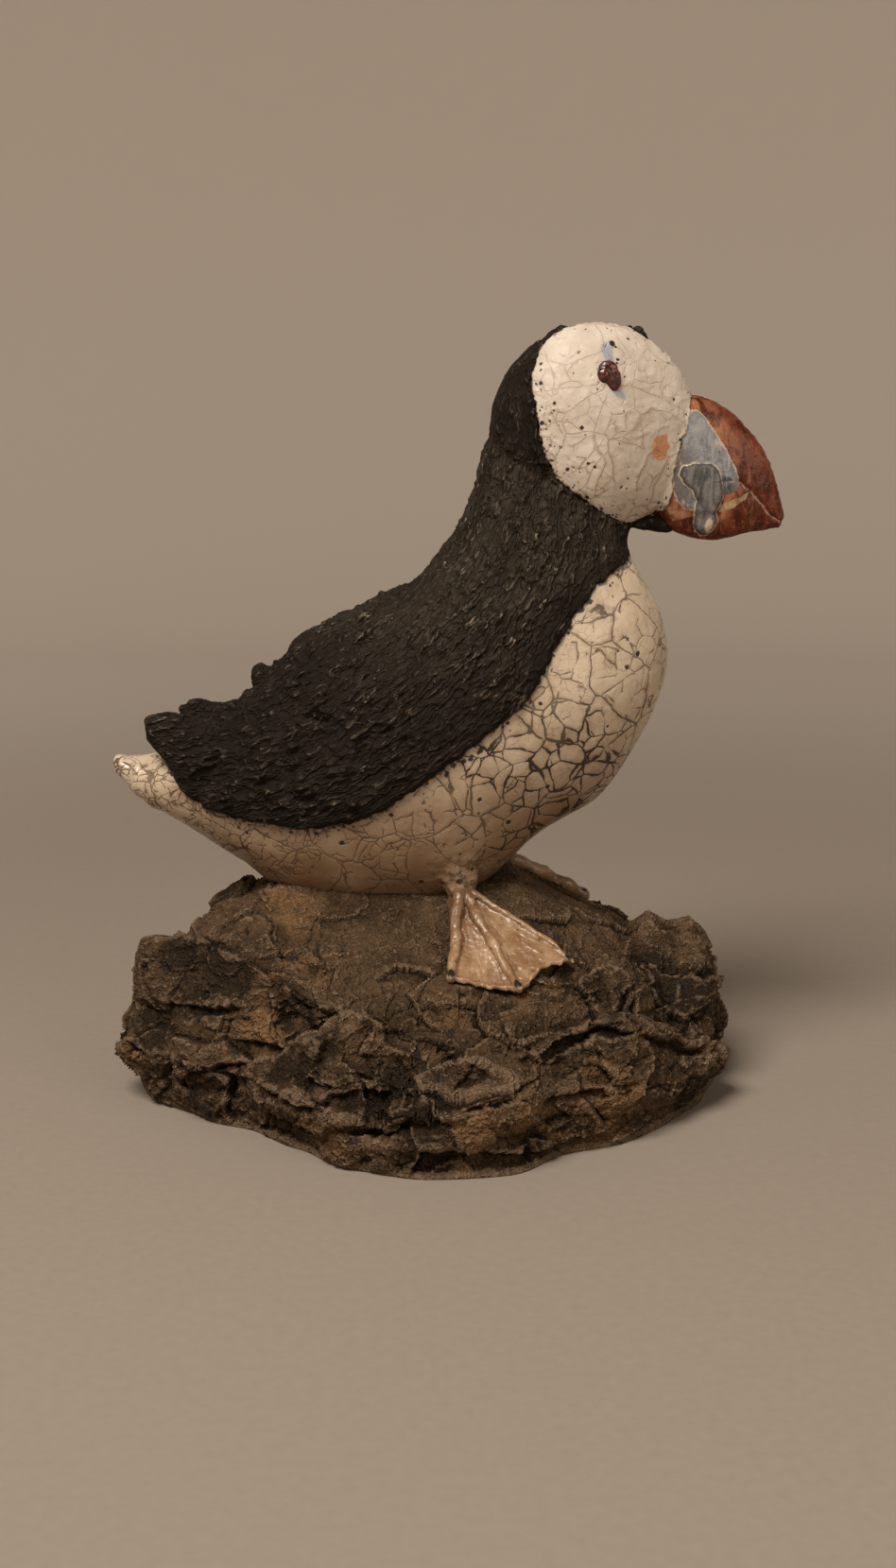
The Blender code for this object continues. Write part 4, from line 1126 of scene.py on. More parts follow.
def rock_relief(points):
    """Plates, lips, cracks, worms, pits and crumbs in millimetres, faded under the bird and at the foot."""
    x, y, z = points.T
    warped = points + (7 * MM * noise(points, 17 * MM, 201))[:, None] * np.array((1, 0.7, 0.35))
    warped = warped + (1.3 * MM * noise(points, 6 * MM, 209))[:, None] * np.array((0.6, 0.8, 0.9))
    warped = warped + (0.3 * MM * noise(points, 2.2 * MM, 219))[:, None] * np.array((0.9, -0.6, 0.7))
    warped = warped * np.array((1, 1, 1.5))
    out = smooth_step(np.hypot(x / 0.085, y / 0.055), 0.55, 1.05)
    height, lip, crack = np.zeros(len(x)), np.zeros(len(x)), np.zeros(len(x))
    for size, amount, lean, seed in PLATE_SIZES:
        level, border = plates(warped, size * MM, lean, seed)
        level_share = 0.15 + 0.85 * out if size > 10 else 0.5 + 0.5 * out
        height = height + amount * level * level_share
        edge = bell(border, 0.016 * size + 0.30)
        upper = smooth_step(level, -0.2, 0.5)
        fresh = patches(points, 1.2 * size, (-0.35, 0.05), seed + 40)
        lip = lip + (0.22 * amount + 0.12) * edge * upper * fresh
        crack = crack + (0.40 * amount + 0.30) * edge * (1 - upper) * out
    worms = 0.55 * thin_ridges(warped, 5.2 * MM, 0.12, 205) + 0.25 * thin_ridges(points, 2.8 * MM, 0.20, 206)
    worms = worms * (0.4 + 0.6 * patches(points, 11, (-0.25, 0.25), 215))
    pits = dots(warped, 8, 0.40, 207) * patches(points, 16, (-0.1, 0.3), 212)
    crumbs = dots(points, 3.4, 0.34, 208) * patches(points, 9, (-0.2, 0.2), 213)
    height = height + (lip + worms) * (0.55 + 0.45 * out) - crack + 1.8 * crumbs
    height = height - 5.0 * pits * (0.20 + 0.80 * out) + 0.25 * rough(points, 9 * MM, 2, 214)
    height = height + ledge_relief(points)
    height = height - (1.3 + 1.2 * noise(points, 7 * MM, 216)) * spots(points, SOOT_AND_SHADE_SPOTS)
    crest = sum(bell(near_line(points / MM, line)[0], 7) for line, _, _ in CRESTS[:5])
    height = height * (1 - 0.65 * np.clip(crest, 0, 1))
    return (height - 0.6 * out) * smooth_step(z, 0.0002, 0.0028)


rock_grid = rock_rings()
rock_normals = grid_normals(rock_grid)
amount = rock_relief(rock_grid.reshape(-1, 3)).reshape(rock_grid.shape[:2])
rock_grid = rock_grid + rock_normals * (amount * MM)[..., None]
rock_grid[..., 2] = np.maximum(rock_grid[..., 2], 0)
rock_mesh = skin("clay_rock", rock_grid)
rock_mesh = thinned(rock_mesh, MOST_TRIANGLES["clay_rock"])
paint(rock_mesh, "height", relief_height(rock_mesh, 8))
# Soot and painted shade: the large hollows measured here are painted dark in the rock's finish.
paint(rock_mesh, "hollow", relief_height(rock_mesh, 60))
for name, table in (("soot_and_shade", SOOT_AND_SHADE_SPOTS), ("rusted", RUSTED)):
    paint(rock_mesh, name, spots(points_of(rock_mesh), table))

# %% [markdown]
# ## Feet
#
# Each foot is a short leg, three toes rolled as cords and a sheet of clay pinched between them. The
# cords are circles carried along a path that follows the rock, and the sheet is a grid between the
# same paths. They are pressed into one skin, and creased along the toes afterwards.

# %% Feet
TOE_RADII = {"near": (2.4 * MM, 1.9 * MM, 1.3 * MM), "far": (1.5 * MM, 1.8 * MM, 3.2 * MM)}
TOE_LIFTS = {"near": (0, 0, 0), "far": (0, 0, 0.7 * MM)}
WEB_THICKNESS = 1.7 * MM


def foot_places(foot, end_x, end_y, reach, lift):
    """Points some of the way from the ankle to an end: over the rock by a lift, and by a fading clearance."""
    ankle_x, ankle_y, ankle_z = foot["ankle"]
    x = FORWARD + (ankle_x + (end_x - ankle_x) * reach) * SHARE
    y = (ankle_y + (end_y - ankle_y) * reach) * SHARE
    start = at(ankle_x, ankle_y, ankle_z)
    clearance = max(0.0, start[2] - float(rock_top(start[0], start[1])))
    return np.stack([x, y, rock_top(x, y) + clearance * (1 - reach) ** 1.5 + lift], axis=-1)


def round_ends(count, share=0.06):
    """Shrinks the last of a tube's radii by a quarter circle."""
    place = np.clip((np.linspace(0, 1, count) - (1 - share)) / share, 0, 1)
    return np.sqrt(np.clip(1 - place**2, 0.01, 1))


def toe_rings(foot, end, radius, lift, seed):
    """A cord pinched at its joints, wandering a little and lumpy by noise."""
    reach = np.linspace(0.0, 1.0, 200)
    over_rock = 0.35 * radius + 1.7 * MM + lift * np.sin(math.pi * reach**0.7)
    path = foot_places(foot, end[0], end[1], reach, over_rock)
    path = path + 0.9 * MM * np.stack([noise(path, 9 * MM, seed + way) for way in range(3)], axis=1)
    joints = 0.20 * np.abs(np.sin(4.5 * math.pi * reach)) - 0.10
    swell = 1 + joints + (0.28 + 30 * lift) * noise(path, 4.5 * MM, seed + 5)
    return tube(path, radius * swell * (1 - 0.25 * reach) * round_ends(200, 0.05))


def web_rings(foot):
    """The sheet between the toes: one closed strip from ankle to edge for each direction, sagging between."""
    ends = np.array(foot["toes"], float)
    depth = np.array((0.022, 0.038))
    place = np.linspace(0, 2, 161)
    pair = np.minimum(place.astype(int), 1)
    share = place - pair
    between = np.sin(math.pi * share)
    end = ends[pair] + (ends[pair + 1] - ends[pair]) * share[:, None]
    scallop = depth[pair] * between + 0.010 * np.sin(9 * place + 1) + 0.007 * np.sin(31 * place)
    reach = 0.06 + (0.990 - scallop - 0.06)[:, None] * np.linspace(0, 1, 110)
    curl = 1.3 * MM * smooth_step(np.linspace(0, 1, 110), 0.93, 1.0)
    lift = (WEB_THICKNESS * (1.25 - 0.45 * between))[:, None] + curl
    upper = foot_places(foot, end[:, :1], end[:, 1:], reach, lift)
    lower = upper - np.array((0, 0, WEB_THICKNESS))
    return np.concatenate([upper, lower[:, ::-1]], axis=1)


def ankle_rings(foot):
    """A short stump from inside the leg's root to under the root of the toes."""
    x, y, z = foot["ankle"]
    top, ankle = at(x - 2, y * 0.90, 40), at(x, y, z)
    heel = np.array((ankle[0], ankle[1] * 0.96, float(rock_top(ankle[0], ankle[1])) - 1 * MM))
    place = np.linspace(0, 2, 60)
    radii = np.interp(place, (0, 1, 2), (3.0, 4.2, 5.4)) * MM
    return tube(smooth_rows(np.array([top, ankle, heel]), place), radii, 60)


def foot_relief(points, foot, seed):
    """Thin creases that fan out from the ankle, pinched lumps and pits."""
    out = points[:, :2] - at(*foot["ankle"])[:2]
    turn, reach = np.arctan2(out[:, 1], out[:, 0]), np.linalg.norm(out, axis=1)
    fan = np.stack([turn * 0.040, reach * 0.25, points[:, 2] * 0.5], axis=1)
    creases = 0.22 * thin_ridges(fan, 4.5 * MM, 0.16, seed) * smooth_step(reach, 0.005, 0.014)
    lumps = 0.18 * noise(points, 7 * MM, seed + 1) + 0.16 * rough(points, 2.4 * MM, 2, seed + 2)
    pits = dots(points, 4, 0.26, seed + 3)
    return creases + lumps - 1.6 * pits


foot_meshes = {}
for label, seed in (("near", 300), ("far", 330)):
    foot = FEET[label]
    parts = [skin("web", web_rings(foot)), skin("ankle", ankle_rings(foot))]
    for end, radius, lift in zip(foot["toes"], TOE_RADII[label], TOE_LIFTS[label]):
        parts.append(skin("toe", toe_rings(foot, end, radius, lift, seed)))
    mesh = pressed(f"{label}_foot", parts, (0.40) * MM, 3)
    push_out(mesh, foot_relief(points_of(mesh), foot, seed))
    mesh = thinned(mesh, MOST_TRIANGLES["foot"])
    paint(mesh, "height", relief_height(mesh, 12))
    points = points_of(mesh)
    paint(mesh, "reach", np.linalg.norm(points[:, :2] - at(*foot["ankle"])[:2], axis=1))
    tips = [foot_places(foot, end[0], end[1], 0.950, radius + 1.5 * MM)
            for end, radius in zip(foot["toes"], TOE_RADII[label])]
    paint(mesh, "claw", sum(bump_at(points, tip, (1.5 * MM, 2.4 * MM, 2.4 * MM)) for tip in tips))
    foot_meshes[label] = mesh

# %% [markdown]
# ## Shader helpers
#
# A material is a graph of nodes. What comes out of a socket is wrapped as a signal, so that a sum or a
# product of signals reads as arithmetic and places a Math node. A few short functions place the other
# nodes, blend two colours or turn a range of values into a soft mask, so each finish reads as a recipe.

# %% Shader helpers
class Work:
    """What is being filled now: a node tree and, for a material, its Principled shader."""
    tree = None
    shader = None


class Signal:
    """What comes out of a socket. Arithmetic with signals and numbers places Math nodes."""

    def __init__(self, socket):
        self.socket = socket

    def __add__(self, other):
        return calc("ADD", self, other)

    def __radd__(self, other):
        return calc("ADD", other, self)

    def __sub__(self, other):
        return calc("SUBTRACT", self, other)

    def __rsub__(self, other):
        return calc("SUBTRACT", other, self)

    def __mul__(self, other):
        return calc("MULTIPLY", self, other)

    def __rtruediv__(self, other):
        return calc("DIVIDE", other, self)

    def __abs__(self):
        return calc("ABSOLUTE", self)


class Outputs:
    """A node's outputs, each read as a signal by its name or number."""

    def __init__(self, sockets):
        self.sockets = sockets

    def __getitem__(self, key):
        return Signal(self.sockets[key])


def connect(value, socket):
    if isinstance(value, Signal):
        Work.tree.links.new(value.socket, socket)
    else:
        socket.default_value = value


def place_node(kind, settings, inputs):
    """Places a node. A signal given to an input is linked, and anything else becomes its value."""
    node = Work.tree.nodes.new("ShaderNode" + kind)
    for key, value in settings.items():
        setattr(node, key, value)
    for key, value in inputs.items():
        connect(value, node.inputs[key])
    return Outputs(node.outputs)


def put(kind, settings=None, **inputs):
    return place_node(kind, settings or {}, {key.replace("_", " "): value for key, value in inputs.items()})


def calc(operation, one, other=0.0, clamp=False):
    return place_node("Math", {"operation": operation, "use_clamp": clamp}, {0: one, 1: other})[0]


def larger(first, *others):
    """The largest of some signals."""
    for other in others:
        first = calc("MAXIMUM", first, other)
    return first


def vector_calc(operation, one, other):
    second = "Scale" if operation == "SCALE" else 1
    return place_node("VectorMath", {"operation": operation}, {0: one, second: other})[0]


def drifted(place, across, scale, detail, amount):
    """A place moved about by noise read across another: its colour less a half, times an amount."""
    waves = put("TexNoise", Vector=across, Scale=scale, Detail=detail)["Color"]
    centred = vector_calc("SUBTRACT", waves, (0.5, 0.5, 0.5))
    return vector_calc("ADD", place, vector_calc("SCALE", centred, amount))


def blend(mask, one, other):
    """The first colour where the mask is 0, the other where it is 1."""
    one, other = ((*colour, 1.0) if isinstance(colour, tuple) else colour for colour in (one, other))
    return place_node("Mix", {"data_type": "RGBA"}, {0: mask, 6: one, 7: other})[2]


def fade(value, start, end, most=1.0):
    """A soft mask: 0 at start, most at end. Start may be the larger, and both may be signals."""
    limits = {"Value": value, "From Min": start, "From Max": end, "To Max": most}
    return place_node("MapRange", {"interpolation_type": "SMOOTHSTEP"}, limits)[0]


def mottle(vector, size, detail=3.0, roughness=0.55, swirl=0.0):
    """Noise from 0 to 1 with lumps of the given size in metres, marbled by a swirl."""
    return put("TexNoise", Vector=vector, Scale=1 / size, Detail=detail, Roughness=roughness,
               Distortion=swirl)["Fac"]


def painted(name):
    """The number that paint put on the points under this name."""
    return put("Attribute", {"attribute_name": name})["Fac"]


def new_group(name, inputs, outputs):
    """A node group, what it is given and where its results go. A single number makes a Float input."""
    Work.tree = bpy.data.node_groups.new(name, "ShaderNodeTree")
    new_socket = Work.tree.interface.new_socket
    for label, value in inputs.items():
        kind = {1: "Float", 3: "Vector", 4: "Color"}[np.size(value)]
        new_socket(label, in_out="INPUT", socket_type="NodeSocket" + kind).default_value = value
    for label, kind in outputs.items():
        new_socket(label, in_out="OUTPUT", socket_type="NodeSocket" + kind)
    given = Outputs(Work.tree.nodes.new("NodeGroupInput").outputs)
    return Work.tree, given, Work.tree.nodes.new("NodeGroupOutput").inputs


def use_group(group, **inputs):
    return put("Group", {"node_tree": group}, **inputs)


# %% [markdown]
# ## Crackle, as a node group
#
# Glaze shrinks more than the clay under it, so it cracks into cells. A Voronoi texture has cells, and
# its distance to the nearest edge makes a line of even width. Large cells crack first. The smaller
# cracks come later and stop at them, so each level takes its cells' colour from the level before
# as a shift: its pattern jumps at the older cracks, and its lines end there.

# %% Crackle group
crackle_net, given, result = new_group(
    "crackle_net",
    {"Cell": 0.016, "Width": 0.0006, "Missing": 0.1, "Shift": (0, 0, 0, 1)},
    {"Line": "Float", "Halo": "Float", "Colour": "Color"},
)
place = put("TexCoord")["Object"]
per_cell = 1.0 / given["Cell"]
bent = drifted(place, place, per_cell * 0.9, 1.0, given["Cell"] * 0.60)
bent = drifted(bent, place, per_cell * 4.5, 3.0, given["Cell"] * 0.09)
bent = vector_calc("ADD", bent, given["Shift"])
edge = put("TexVoronoi", {"feature": "DISTANCE_TO_EDGE"}, Vector=bent, Scale=per_cell)
cell = put("TexVoronoi", {"feature": "F1"}, Vector=bent, Scale=per_cell)
away = edge["Distance"] * given["Cell"]
uneven = mottle(place, 0.007, 2.0)
width = given["Width"] * fade(uneven, 0.25, 0.75, 1.5)
present = fade(mottle(bent, 0.009, 2.0), given["Missing"] - 0.06, given["Missing"] + 0.04)
line = fade(away, width, width * 0.35)
halo = fade(away, width * 5.0, 0.0)
connect(line * present, result["Line"])
connect(halo * present, result["Halo"])
connect(cell["Color"], result["Colour"])

# %% [markdown]
# Gas left the glazes through small holes, and soot filled them. Scattered round spots, kept only in
# some of their cells, serve for pinholes, specks and crumbs alike.

# %% Specks group
specks, given, result = new_group(
    "specks",
    {"Spacing": 0.006, "Radius": 0.0006, "Share": 0.3},
    {"Mask": "Float", "Colour": "Color"},
)
place = put("TexCoord")["Object"]
place = drifted(place, place, 900.0, 2.0, given["Radius"])
cells = put("TexVoronoi", {"feature": "F1"}, Vector=place, Scale=1.0 / given["Spacing"])
random = put("SeparateColor", Color=cells["Color"])
away = cells["Distance"] * given["Spacing"]
sized = given["Radius"] * (random["Green"] + 0.4)
mask = fade(away, sized, sized * 0.5)
kept = calc("LESS_THAN", random["Red"], given["Share"])
connect(mask * kept, result["Mask"])
connect(cells["Color"], result["Colour"])

# %% [markdown]
# Bare clay has a grain finer than the mesh: dragged grog, fine worms and sand. A worm is drawn where
# noise crosses its middle value, so it is a thin line that winds. The group gives their height in
# millimetres, and a mask of the crests, which the finishes paint pale as wear and as a painted highlight.
# It takes its place as an input, so the brushed clay can hand it the swung coordinates.

# %% Clay grain group
clay_grain, given, result = new_group(
    "clay_grain",
    {"Place": (0, 0, 0), "Size": 0.0022, "Drag": 0.5},
    {"Height": "Float", "Crest": "Float", "Mottle": "Float"},
)
per_size = 1.0 / given["Size"]


def worm_lines(size_share, width):
    """1 on thin winding lines: where noise of this size crosses its middle, within the width."""
    scale = per_size * size_share
    waves = put("TexNoise", Vector=given["Place"], Scale=scale, Detail=1.5, Roughness=0.5)
    return fade(abs(waves["Fac"] - 0.5), width, 0.0)


coarse, fine = worm_lines(0.6, 0.095), worm_lines(1.3, 0.11)
sand = put("TexNoise", Vector=given["Place"], Scale=per_size * 3.4, Detail=3.0)
present = fade(mottle(given["Place"], 0.006, 2.0), 0.38, 0.62)
worms = coarse * present + fine * 0.5
height = worms * given["Drag"]
connect(height + sand["Fac"] * 0.22, result["Height"])
sandy = fade(sand["Fac"], 0.4, 0.66)
connect(calc("MINIMUM", worms, 1.0) * sandy, result["Crest"])
connect(mottle(given["Place"], 0.018, 4.0, 0.65), result["Mottle"])

# %% [markdown]
# ## Finishes
#
# Each material ends in a Principled shader. Its constants stay on its own sockets, and only what
# changes over the surface is linked: colour, roughness and the bump.

# %% A new finish
def new_finish(name, **constants):
    """Starts a material with constants on its Principled shader; gives it and the Object coordinates."""
    material = bpy.data.materials.new(name)
    material.use_nodes = True
    Work.tree = material.node_tree
    Work.shader = Work.tree.nodes["Principled BSDF"]
    for key, value in constants.items():
        Work.shader.inputs[key.replace("_", " ")].default_value = value
    return material, put("TexCoord")["Object"]


def finish_surface(colour, roughness, height_mm):
    """Links colour and roughness, and a height in millimetres through a Bump node."""
    bump = put("Bump", Height=height_mm, Distance=MM, Strength=1.0)
    for value, name in ((colour, "Base Color"), (roughness, "Roughness"), (bump["Normal"], "Normal")):
        connect(value, Work.shader.inputs[name])


# %% White crackled glaze
white_glaze, place = new_finish(
    "white_crackle_glaze", Coat_Weight=0.30, Coat_Roughness=0.12, Specular_IOR_Level=0.40)
bold, comb, tan_and_shade = (painted(name) for name in ("bold", "comb", "tan_and_shade"))
first = use_group(crackle_net, Cell=0.018, Missing=0.1, Width=0.0003 + bold * 0.00046)
second = use_group(crackle_net, Cell=0.01, Shift=first["Colour"], Missing=0.5 - bold * 0.2,
                   Width=0.00023 + bold * 0.00038)
third = use_group(crackle_net, Cell=0.0052, Shift=second["Colour"], Width=0.00028,
                  Missing=0.66 - comb * 0.34)
craze = use_group(crackle_net, Cell=0.0036, Shift=second["Colour"], Width=0.00018, Missing=0.46)["Line"]
line = larger(first["Line"], second["Line"], third["Line"])
halo = larger(first["Halo"], second["Halo"], third["Halo"])
off_leg = 1.0 - painted("leg") * 0.85
line, halo = line * off_leg, halo * off_leg
tone = put("SeparateColor", Color=second["Colour"])["Green"]
colour = blend(fade(mottle(place, 0.022), 0.3, 0.7), (0.47, 0.365, 0.25), (0.61, 0.5, 0.365))
colour = blend(tone * 0.22, colour, (0.46, 0.34, 0.22))
# Tan glaze with painted shade: low on the belly and under it, the white turns dark brown.
colour = blend(tan_and_shade * 0.9, colour, (0.195, 0.108, 0.052))
colour = blend(craze * 0.36, colour, (0.13, 0.075, 0.04))
smoke = halo * fade(mottle(place, 0.012), 0.3, 0.7, 0.7)
colour = blend(smoke, colour, (0.24, 0.145, 0.08))
dark = line * calc("ADD", fade(mottle(place, 0.016), 0.35, 0.65, 0.4),
                   0.38 + larger(bold * 0.52, comb * 0.24), True)
colour = blend(dark, colour, (0.026, 0.014, 0.008))
near_border = fade(painted("out_of_mantle"), 9.0, 0.5)
pinholes = use_group(specks, Spacing=0.0038, Radius=0.0011,
                     Share=0.05 + larger(near_border, painted("leg")) * 0.36)["Mask"]
crumbs = use_group(specks, Spacing=0.0021, Radius=0.00115,
                   Share=fade(painted("out_of_mantle"), 4.5, 0.0, 0.62))["Mask"]
pinholes = larger(pinholes, crumbs)
colour = blend(pinholes, colour, (0.02, 0.013, 0.009))
crust = painted("leg") * fade(mottle(place, 0.0035), 0.5, 0.6, 0.8)
soot = larger(crust, fade(painted("out_of_mantle"), 1.8, 0.0, 0.85))
colour = blend(soot, colour, (0.05, 0.03, 0.02))
grain = use_group(clay_grain, Place=place, Size=0.0045, Drag=0.1)
height = grain["Height"] * 0.34 - line * 0.32 - halo * 0.1 - pinholes * 0.5
roughness = fade(mottle(place, 0.01), 0.3, 0.8, 0.16) + (0.3 + line * 0.4)
finish_surface(colour, roughness, height)

# %% [markdown]
# The face glaze is thicker and whiter. Its cracks stayed pale, and its rim caught soot and crumbs. The
# grey-blue touches round the eye, the dark dot and the orange spot at the gape were brushed on it.

# %% Face glaze
face_glaze, place = new_finish(
    "face_glaze", Coat_Weight=0.06, Coat_Roughness=0.22, Specular_IOR_Level=0.32)
first = use_group(crackle_net, Cell=0.0165, Width=0.00034, Missing=0.34)
second = use_group(crackle_net, Cell=0.0088, Width=0.00024, Missing=0.54, Shift=first["Colour"])
long_line = abs(painted("hairline"))
line = larger(first["Line"], second["Line"], fade(long_line, 0.32, 0.1))
halo = larger(first["Halo"], second["Halo"], fade(long_line, 1.6, 0.1))
low = fade(put("SeparateXYZ", Vector=place)["Z"], 0.285, 0.24)
colour = blend(fade(mottle(place, 0.014), 0.3, 0.7), (0.455, 0.378, 0.3), (0.56, 0.485, 0.405))
brown = 0.15 + low * 0.3
colour = blend(halo * brown, colour, (0.36, 0.245, 0.15))
brown = brown * fade(mottle(place, 0.01), 0.3, 0.6, 1.15)
colour = blend(line * brown, colour, (0.19, 0.115, 0.065))
ragged = mottle(place, 0.0025) - 0.5
TOUCHES = (("blue", (0.26, 0.28, 0.31), 0.88), ("orange", (0.46, 0.205, 0.09), 0.95),
           ("dot", (0.014, 0.009, 0.007), 1.0))
for name, touch, strength in TOUCHES:
    colour = blend(fade(painted(name) + ragged, -0.02, 0.26, strength), colour, touch)
rim = fade(painted("from_rim"), 8.0, 0.5)
sooty = larger(rim, fade(painted("eye_crumbs"), 0.0, 0.5))
crumbs = use_group(specks, Spacing=0.0026, Radius=0.00085, Share=0.035 + sooty * 0.3)["Mask"]
crumbs = larger(crumbs, fade(painted("pits"), 0.15, 0.7))
colour = blend(crumbs, colour, (0.018, 0.012, 0.009))
torn = (mottle(place, 0.005, 4.0, 0.7) - 0.5) * 7.0
soot = fade(painted("from_rim") + torn, 0.9, 0.1, 0.9)
colour = blend(soot, colour, (0.05, 0.033, 0.022))
grain = use_group(clay_grain, Place=place, Size=0.0035, Drag=0.15)
height = grain["Height"] * 0.28 - line * 0.14 - crumbs * 0.5
roughness = 0.44 + fade(mottle(place, 0.008), 0.3, 0.8, 0.18)
finish_surface(colour, roughness, height)

# %% Smoked black clay
black_clay, place = new_finish(
    "smoked_black_clay", Specular_IOR_Level=0.21, Specular_Tint=(1.0, 0.84, 0.68, 1))
split = put("SeparateXYZ", Vector=place)
aside = split["X"] - SWING_MIDDLE[0]
upwards = split["Z"] - SWING_MIDDLE[1]
arc = calc("ARCTAN2", upwards, aside) * (0.24 * SWING_RADIUS)
distance = calc("SQRT", aside * aside + upwards * upwards)
flow = put("CombineXYZ", X=arc, Y=split["Y"], Z=distance)["Vector"]
flow = drifted(flow, place, 160.0, 1.0, 0.003)
grain = use_group(clay_grain, Place=flow, Size=0.003, Drag=0.95)
raised = painted("height")
colour = blend(fade(grain["Mottle"], 0.35, 0.7), (0.0074, 0.005, 0.0032), (0.0205, 0.0145, 0.0098))
high = fade(raised, -0.05, 0.5)
# Painted highlight, with some wear: thin crests of the grain are painted pale, most on raised places.
crest_highlight_and_wear = fade(grain["Crest"], 0.25, 0.95) * (0.22 + high * 0.78)
# Painted shade: the low wing and the lip are painted near-black, and their roughness is raised.
painted_wing_shade = painted("soot_and_shade")
colour = blend(painted_wing_shade * 0.88, colour, (0.0034, 0.0024, 0.0017))
colour = blend(crest_highlight_and_wear * (1.0 - painted_wing_shade * 0.55), colour, (0.235, 0.18, 0.13))
# Painted highlight: raised places of the relief are painted lighter.
colour = blend(fade(raised, 0.3, 0.85, 0.45), colour, (0.075, 0.058, 0.043))
# Painted shade: hollows of the relief are painted almost black.
colour = blend(fade(raised, -0.1, -0.6, 0.8), colour, (0.003, 0.0026, 0.0023))
dust = use_group(specks, Spacing=0.005, Radius=0.00036, Share=0.1)["Mask"]
colour = blend(dust * 0.7, colour, (0.16, 0.12, 0.085))
roughness = painted_wing_shade * 0.26 + (0.62 - fade(raised, 0.0, 0.5, 0.16))
finish_surface(colour, roughness, grain["Height"] * 1.15)

# %% [markdown]
# The bill was glazed iron-red in streaks that run down from the ridge, then patched with thick grey-
# blue that slid into a bell-shaped drip. The painted distances switch the colours, and a little noise
# on each distance keeps the edges from looking cut.

# %% Bill glaze
bill_glaze, place = new_finish(
    "bill_glazes", Coat_Weight=0.10, Coat_Roughness=0.14, Specular_IOR_Level=0.26,
    Specular_Tint=(1.0, 0.82, 0.68, 1))
stretched = put("Mapping", Vector=place, Scale=(1.0, 1.0, 0.35), Rotation=(0, 0.5, 0))["Vector"]
streaks = mottle(stretched, 0.006, 4.0, 0.6, 0.8)
colour = blend(fade(streaks, 0.36, 0.66), (0.045, 0.008, 0.004), (0.135, 0.028, 0.011))
colour = blend(fade(mottle(stretched, 0.011, 3.0, 0.5, 1.0), 0.55, 0.7, 0.6), colour, (0.22, 0.068, 0.026))
vein = abs(mottle(stretched, 0.007, 2.0, 0.5, 1.5) - 0.5)
colour = blend(fade(vein, 0.022, 0.004, 0.18), colour, (0.36, 0.19, 0.1))
# Orange glaze with painted light: the bill beside the patch, which faces up and to the left, is painted a
# lighter orange.
orange_band_and_light = fade(painted("patch"), -8.0, -2.5) * fade(streaks, 0.42, 0.62)
colour = blend(orange_band_and_light * 0.75, colour, (0.33, 0.135, 0.062))
colour = blend(fade(mottle(place, 0.003), 0.62, 0.75, 0.6), colour, (0.06, 0.014, 0.009))
ragged = (mottle(place, 0.0018) - 0.5) * 1.6
patchy = mottle(stretched, 0.0075, 4.0, 0.55, 2.5)
split = put("SeparateXYZ", Vector=place)
ZONES = (
    ("straw", (0.40, 0.31, 0.18), (0.25, 0.14, 0.06), 0.8),
    ("peach", (0.42, 0.22, 0.125), (0.20, 0.065, 0.030), 0.75),
    ("patch", (0.135, 0.145, 0.155), (0.265, 0.262, 0.255), 0.96),
    ("slate", (0.045, 0.048, 0.055), (0.12, 0.125, 0.130), 0.95),
    ("bell", (0.060, 0.058, 0.056), (0.175, 0.166, 0.155), 0.97),
)
for name, one, other, strength in ZONES:
    depth = painted(name) + ragged
    zone = blend(fade(patchy, 0.38, 0.64), one, other)
    if name == "bell":
        zone = blend(fade(depth, 1.9, 0.3, 0.75), zone, (0.034, 0.033, 0.033))
    if name == "patch":
        zone = blend(fade(split["X"], 0.107, 0.098) * fade(split["Z"], 0.262, 0.252, 0.75), zone,
                     (0.085, 0.08, 0.075))
    colour = blend(fade(depth, -0.1, 0.35, strength), colour, zone)
    if name in ("patch", "bell"):
        outline = 1.0 - fade(abs(depth + 0.1), 0.12, 0.42)
        colour = blend(outline * fade(streaks, 0.25, 0.5, 0.85), colour, (0.46, 0.36, 0.26))
flesh = fade(mottle(stretched, 0.0022, 3.0), 0.58, 0.68, 0.7)
flesh = flesh * fade(painted("patch"), 4.5, 0.5)
colour = blend(flesh * fade(painted("patch"), 0.0, 0.4), colour, (0.48, 0.34, 0.24))
mouth = fade(painted("mouth") + ragged * 0.6, 0.55, 0.05, 0.65)
colour = blend(mouth * fade(streaks, 0.3, 0.55), colour, (0.42, 0.32, 0.22))
drop = fade(painted("drop") + ragged, 0.0, 0.8, 0.75)
colour = blend(drop * fade(patchy, 0.35, 0.5), colour, (0.56, 0.44, 0.33))
# Painted highlight: a pale line along the ridge and the lower edge.
ridge = fade(painted("culmen") + ragged, 1.1, 0.3, 0.85)
colour = blend(ridge, colour, (0.52, 0.36, 0.23))
grain = use_group(clay_grain, Place=place, Size=0.003, Drag=0.3)
pits = use_group(specks, Spacing=0.0035, Radius=0.00035, Share=0.22)["Mask"]
colour = blend(pits, colour, (0.03, 0.012, 0.008))
height = grain["Height"] * 0.3 - pits * 0.4
roughness = 0.2 + fade(streaks, 0.3, 0.8, 0.2)
finish_surface(colour, roughness, height)

# %% Eye and foot glazes
eye_glaze, place = new_finish("eye_glaze", Coat_Weight=0.22, Coat_Roughness=0.18)
colour = blend(fade(mottle(place, 0.0022), 0.4, 0.66), (0.018, 0.004, 0.003), (0.105, 0.018, 0.008))
finish_surface(colour, fade(mottle(place, 0.004), 0.0, 0.9, 0.45), mottle(place, 0.004) * 0.12)

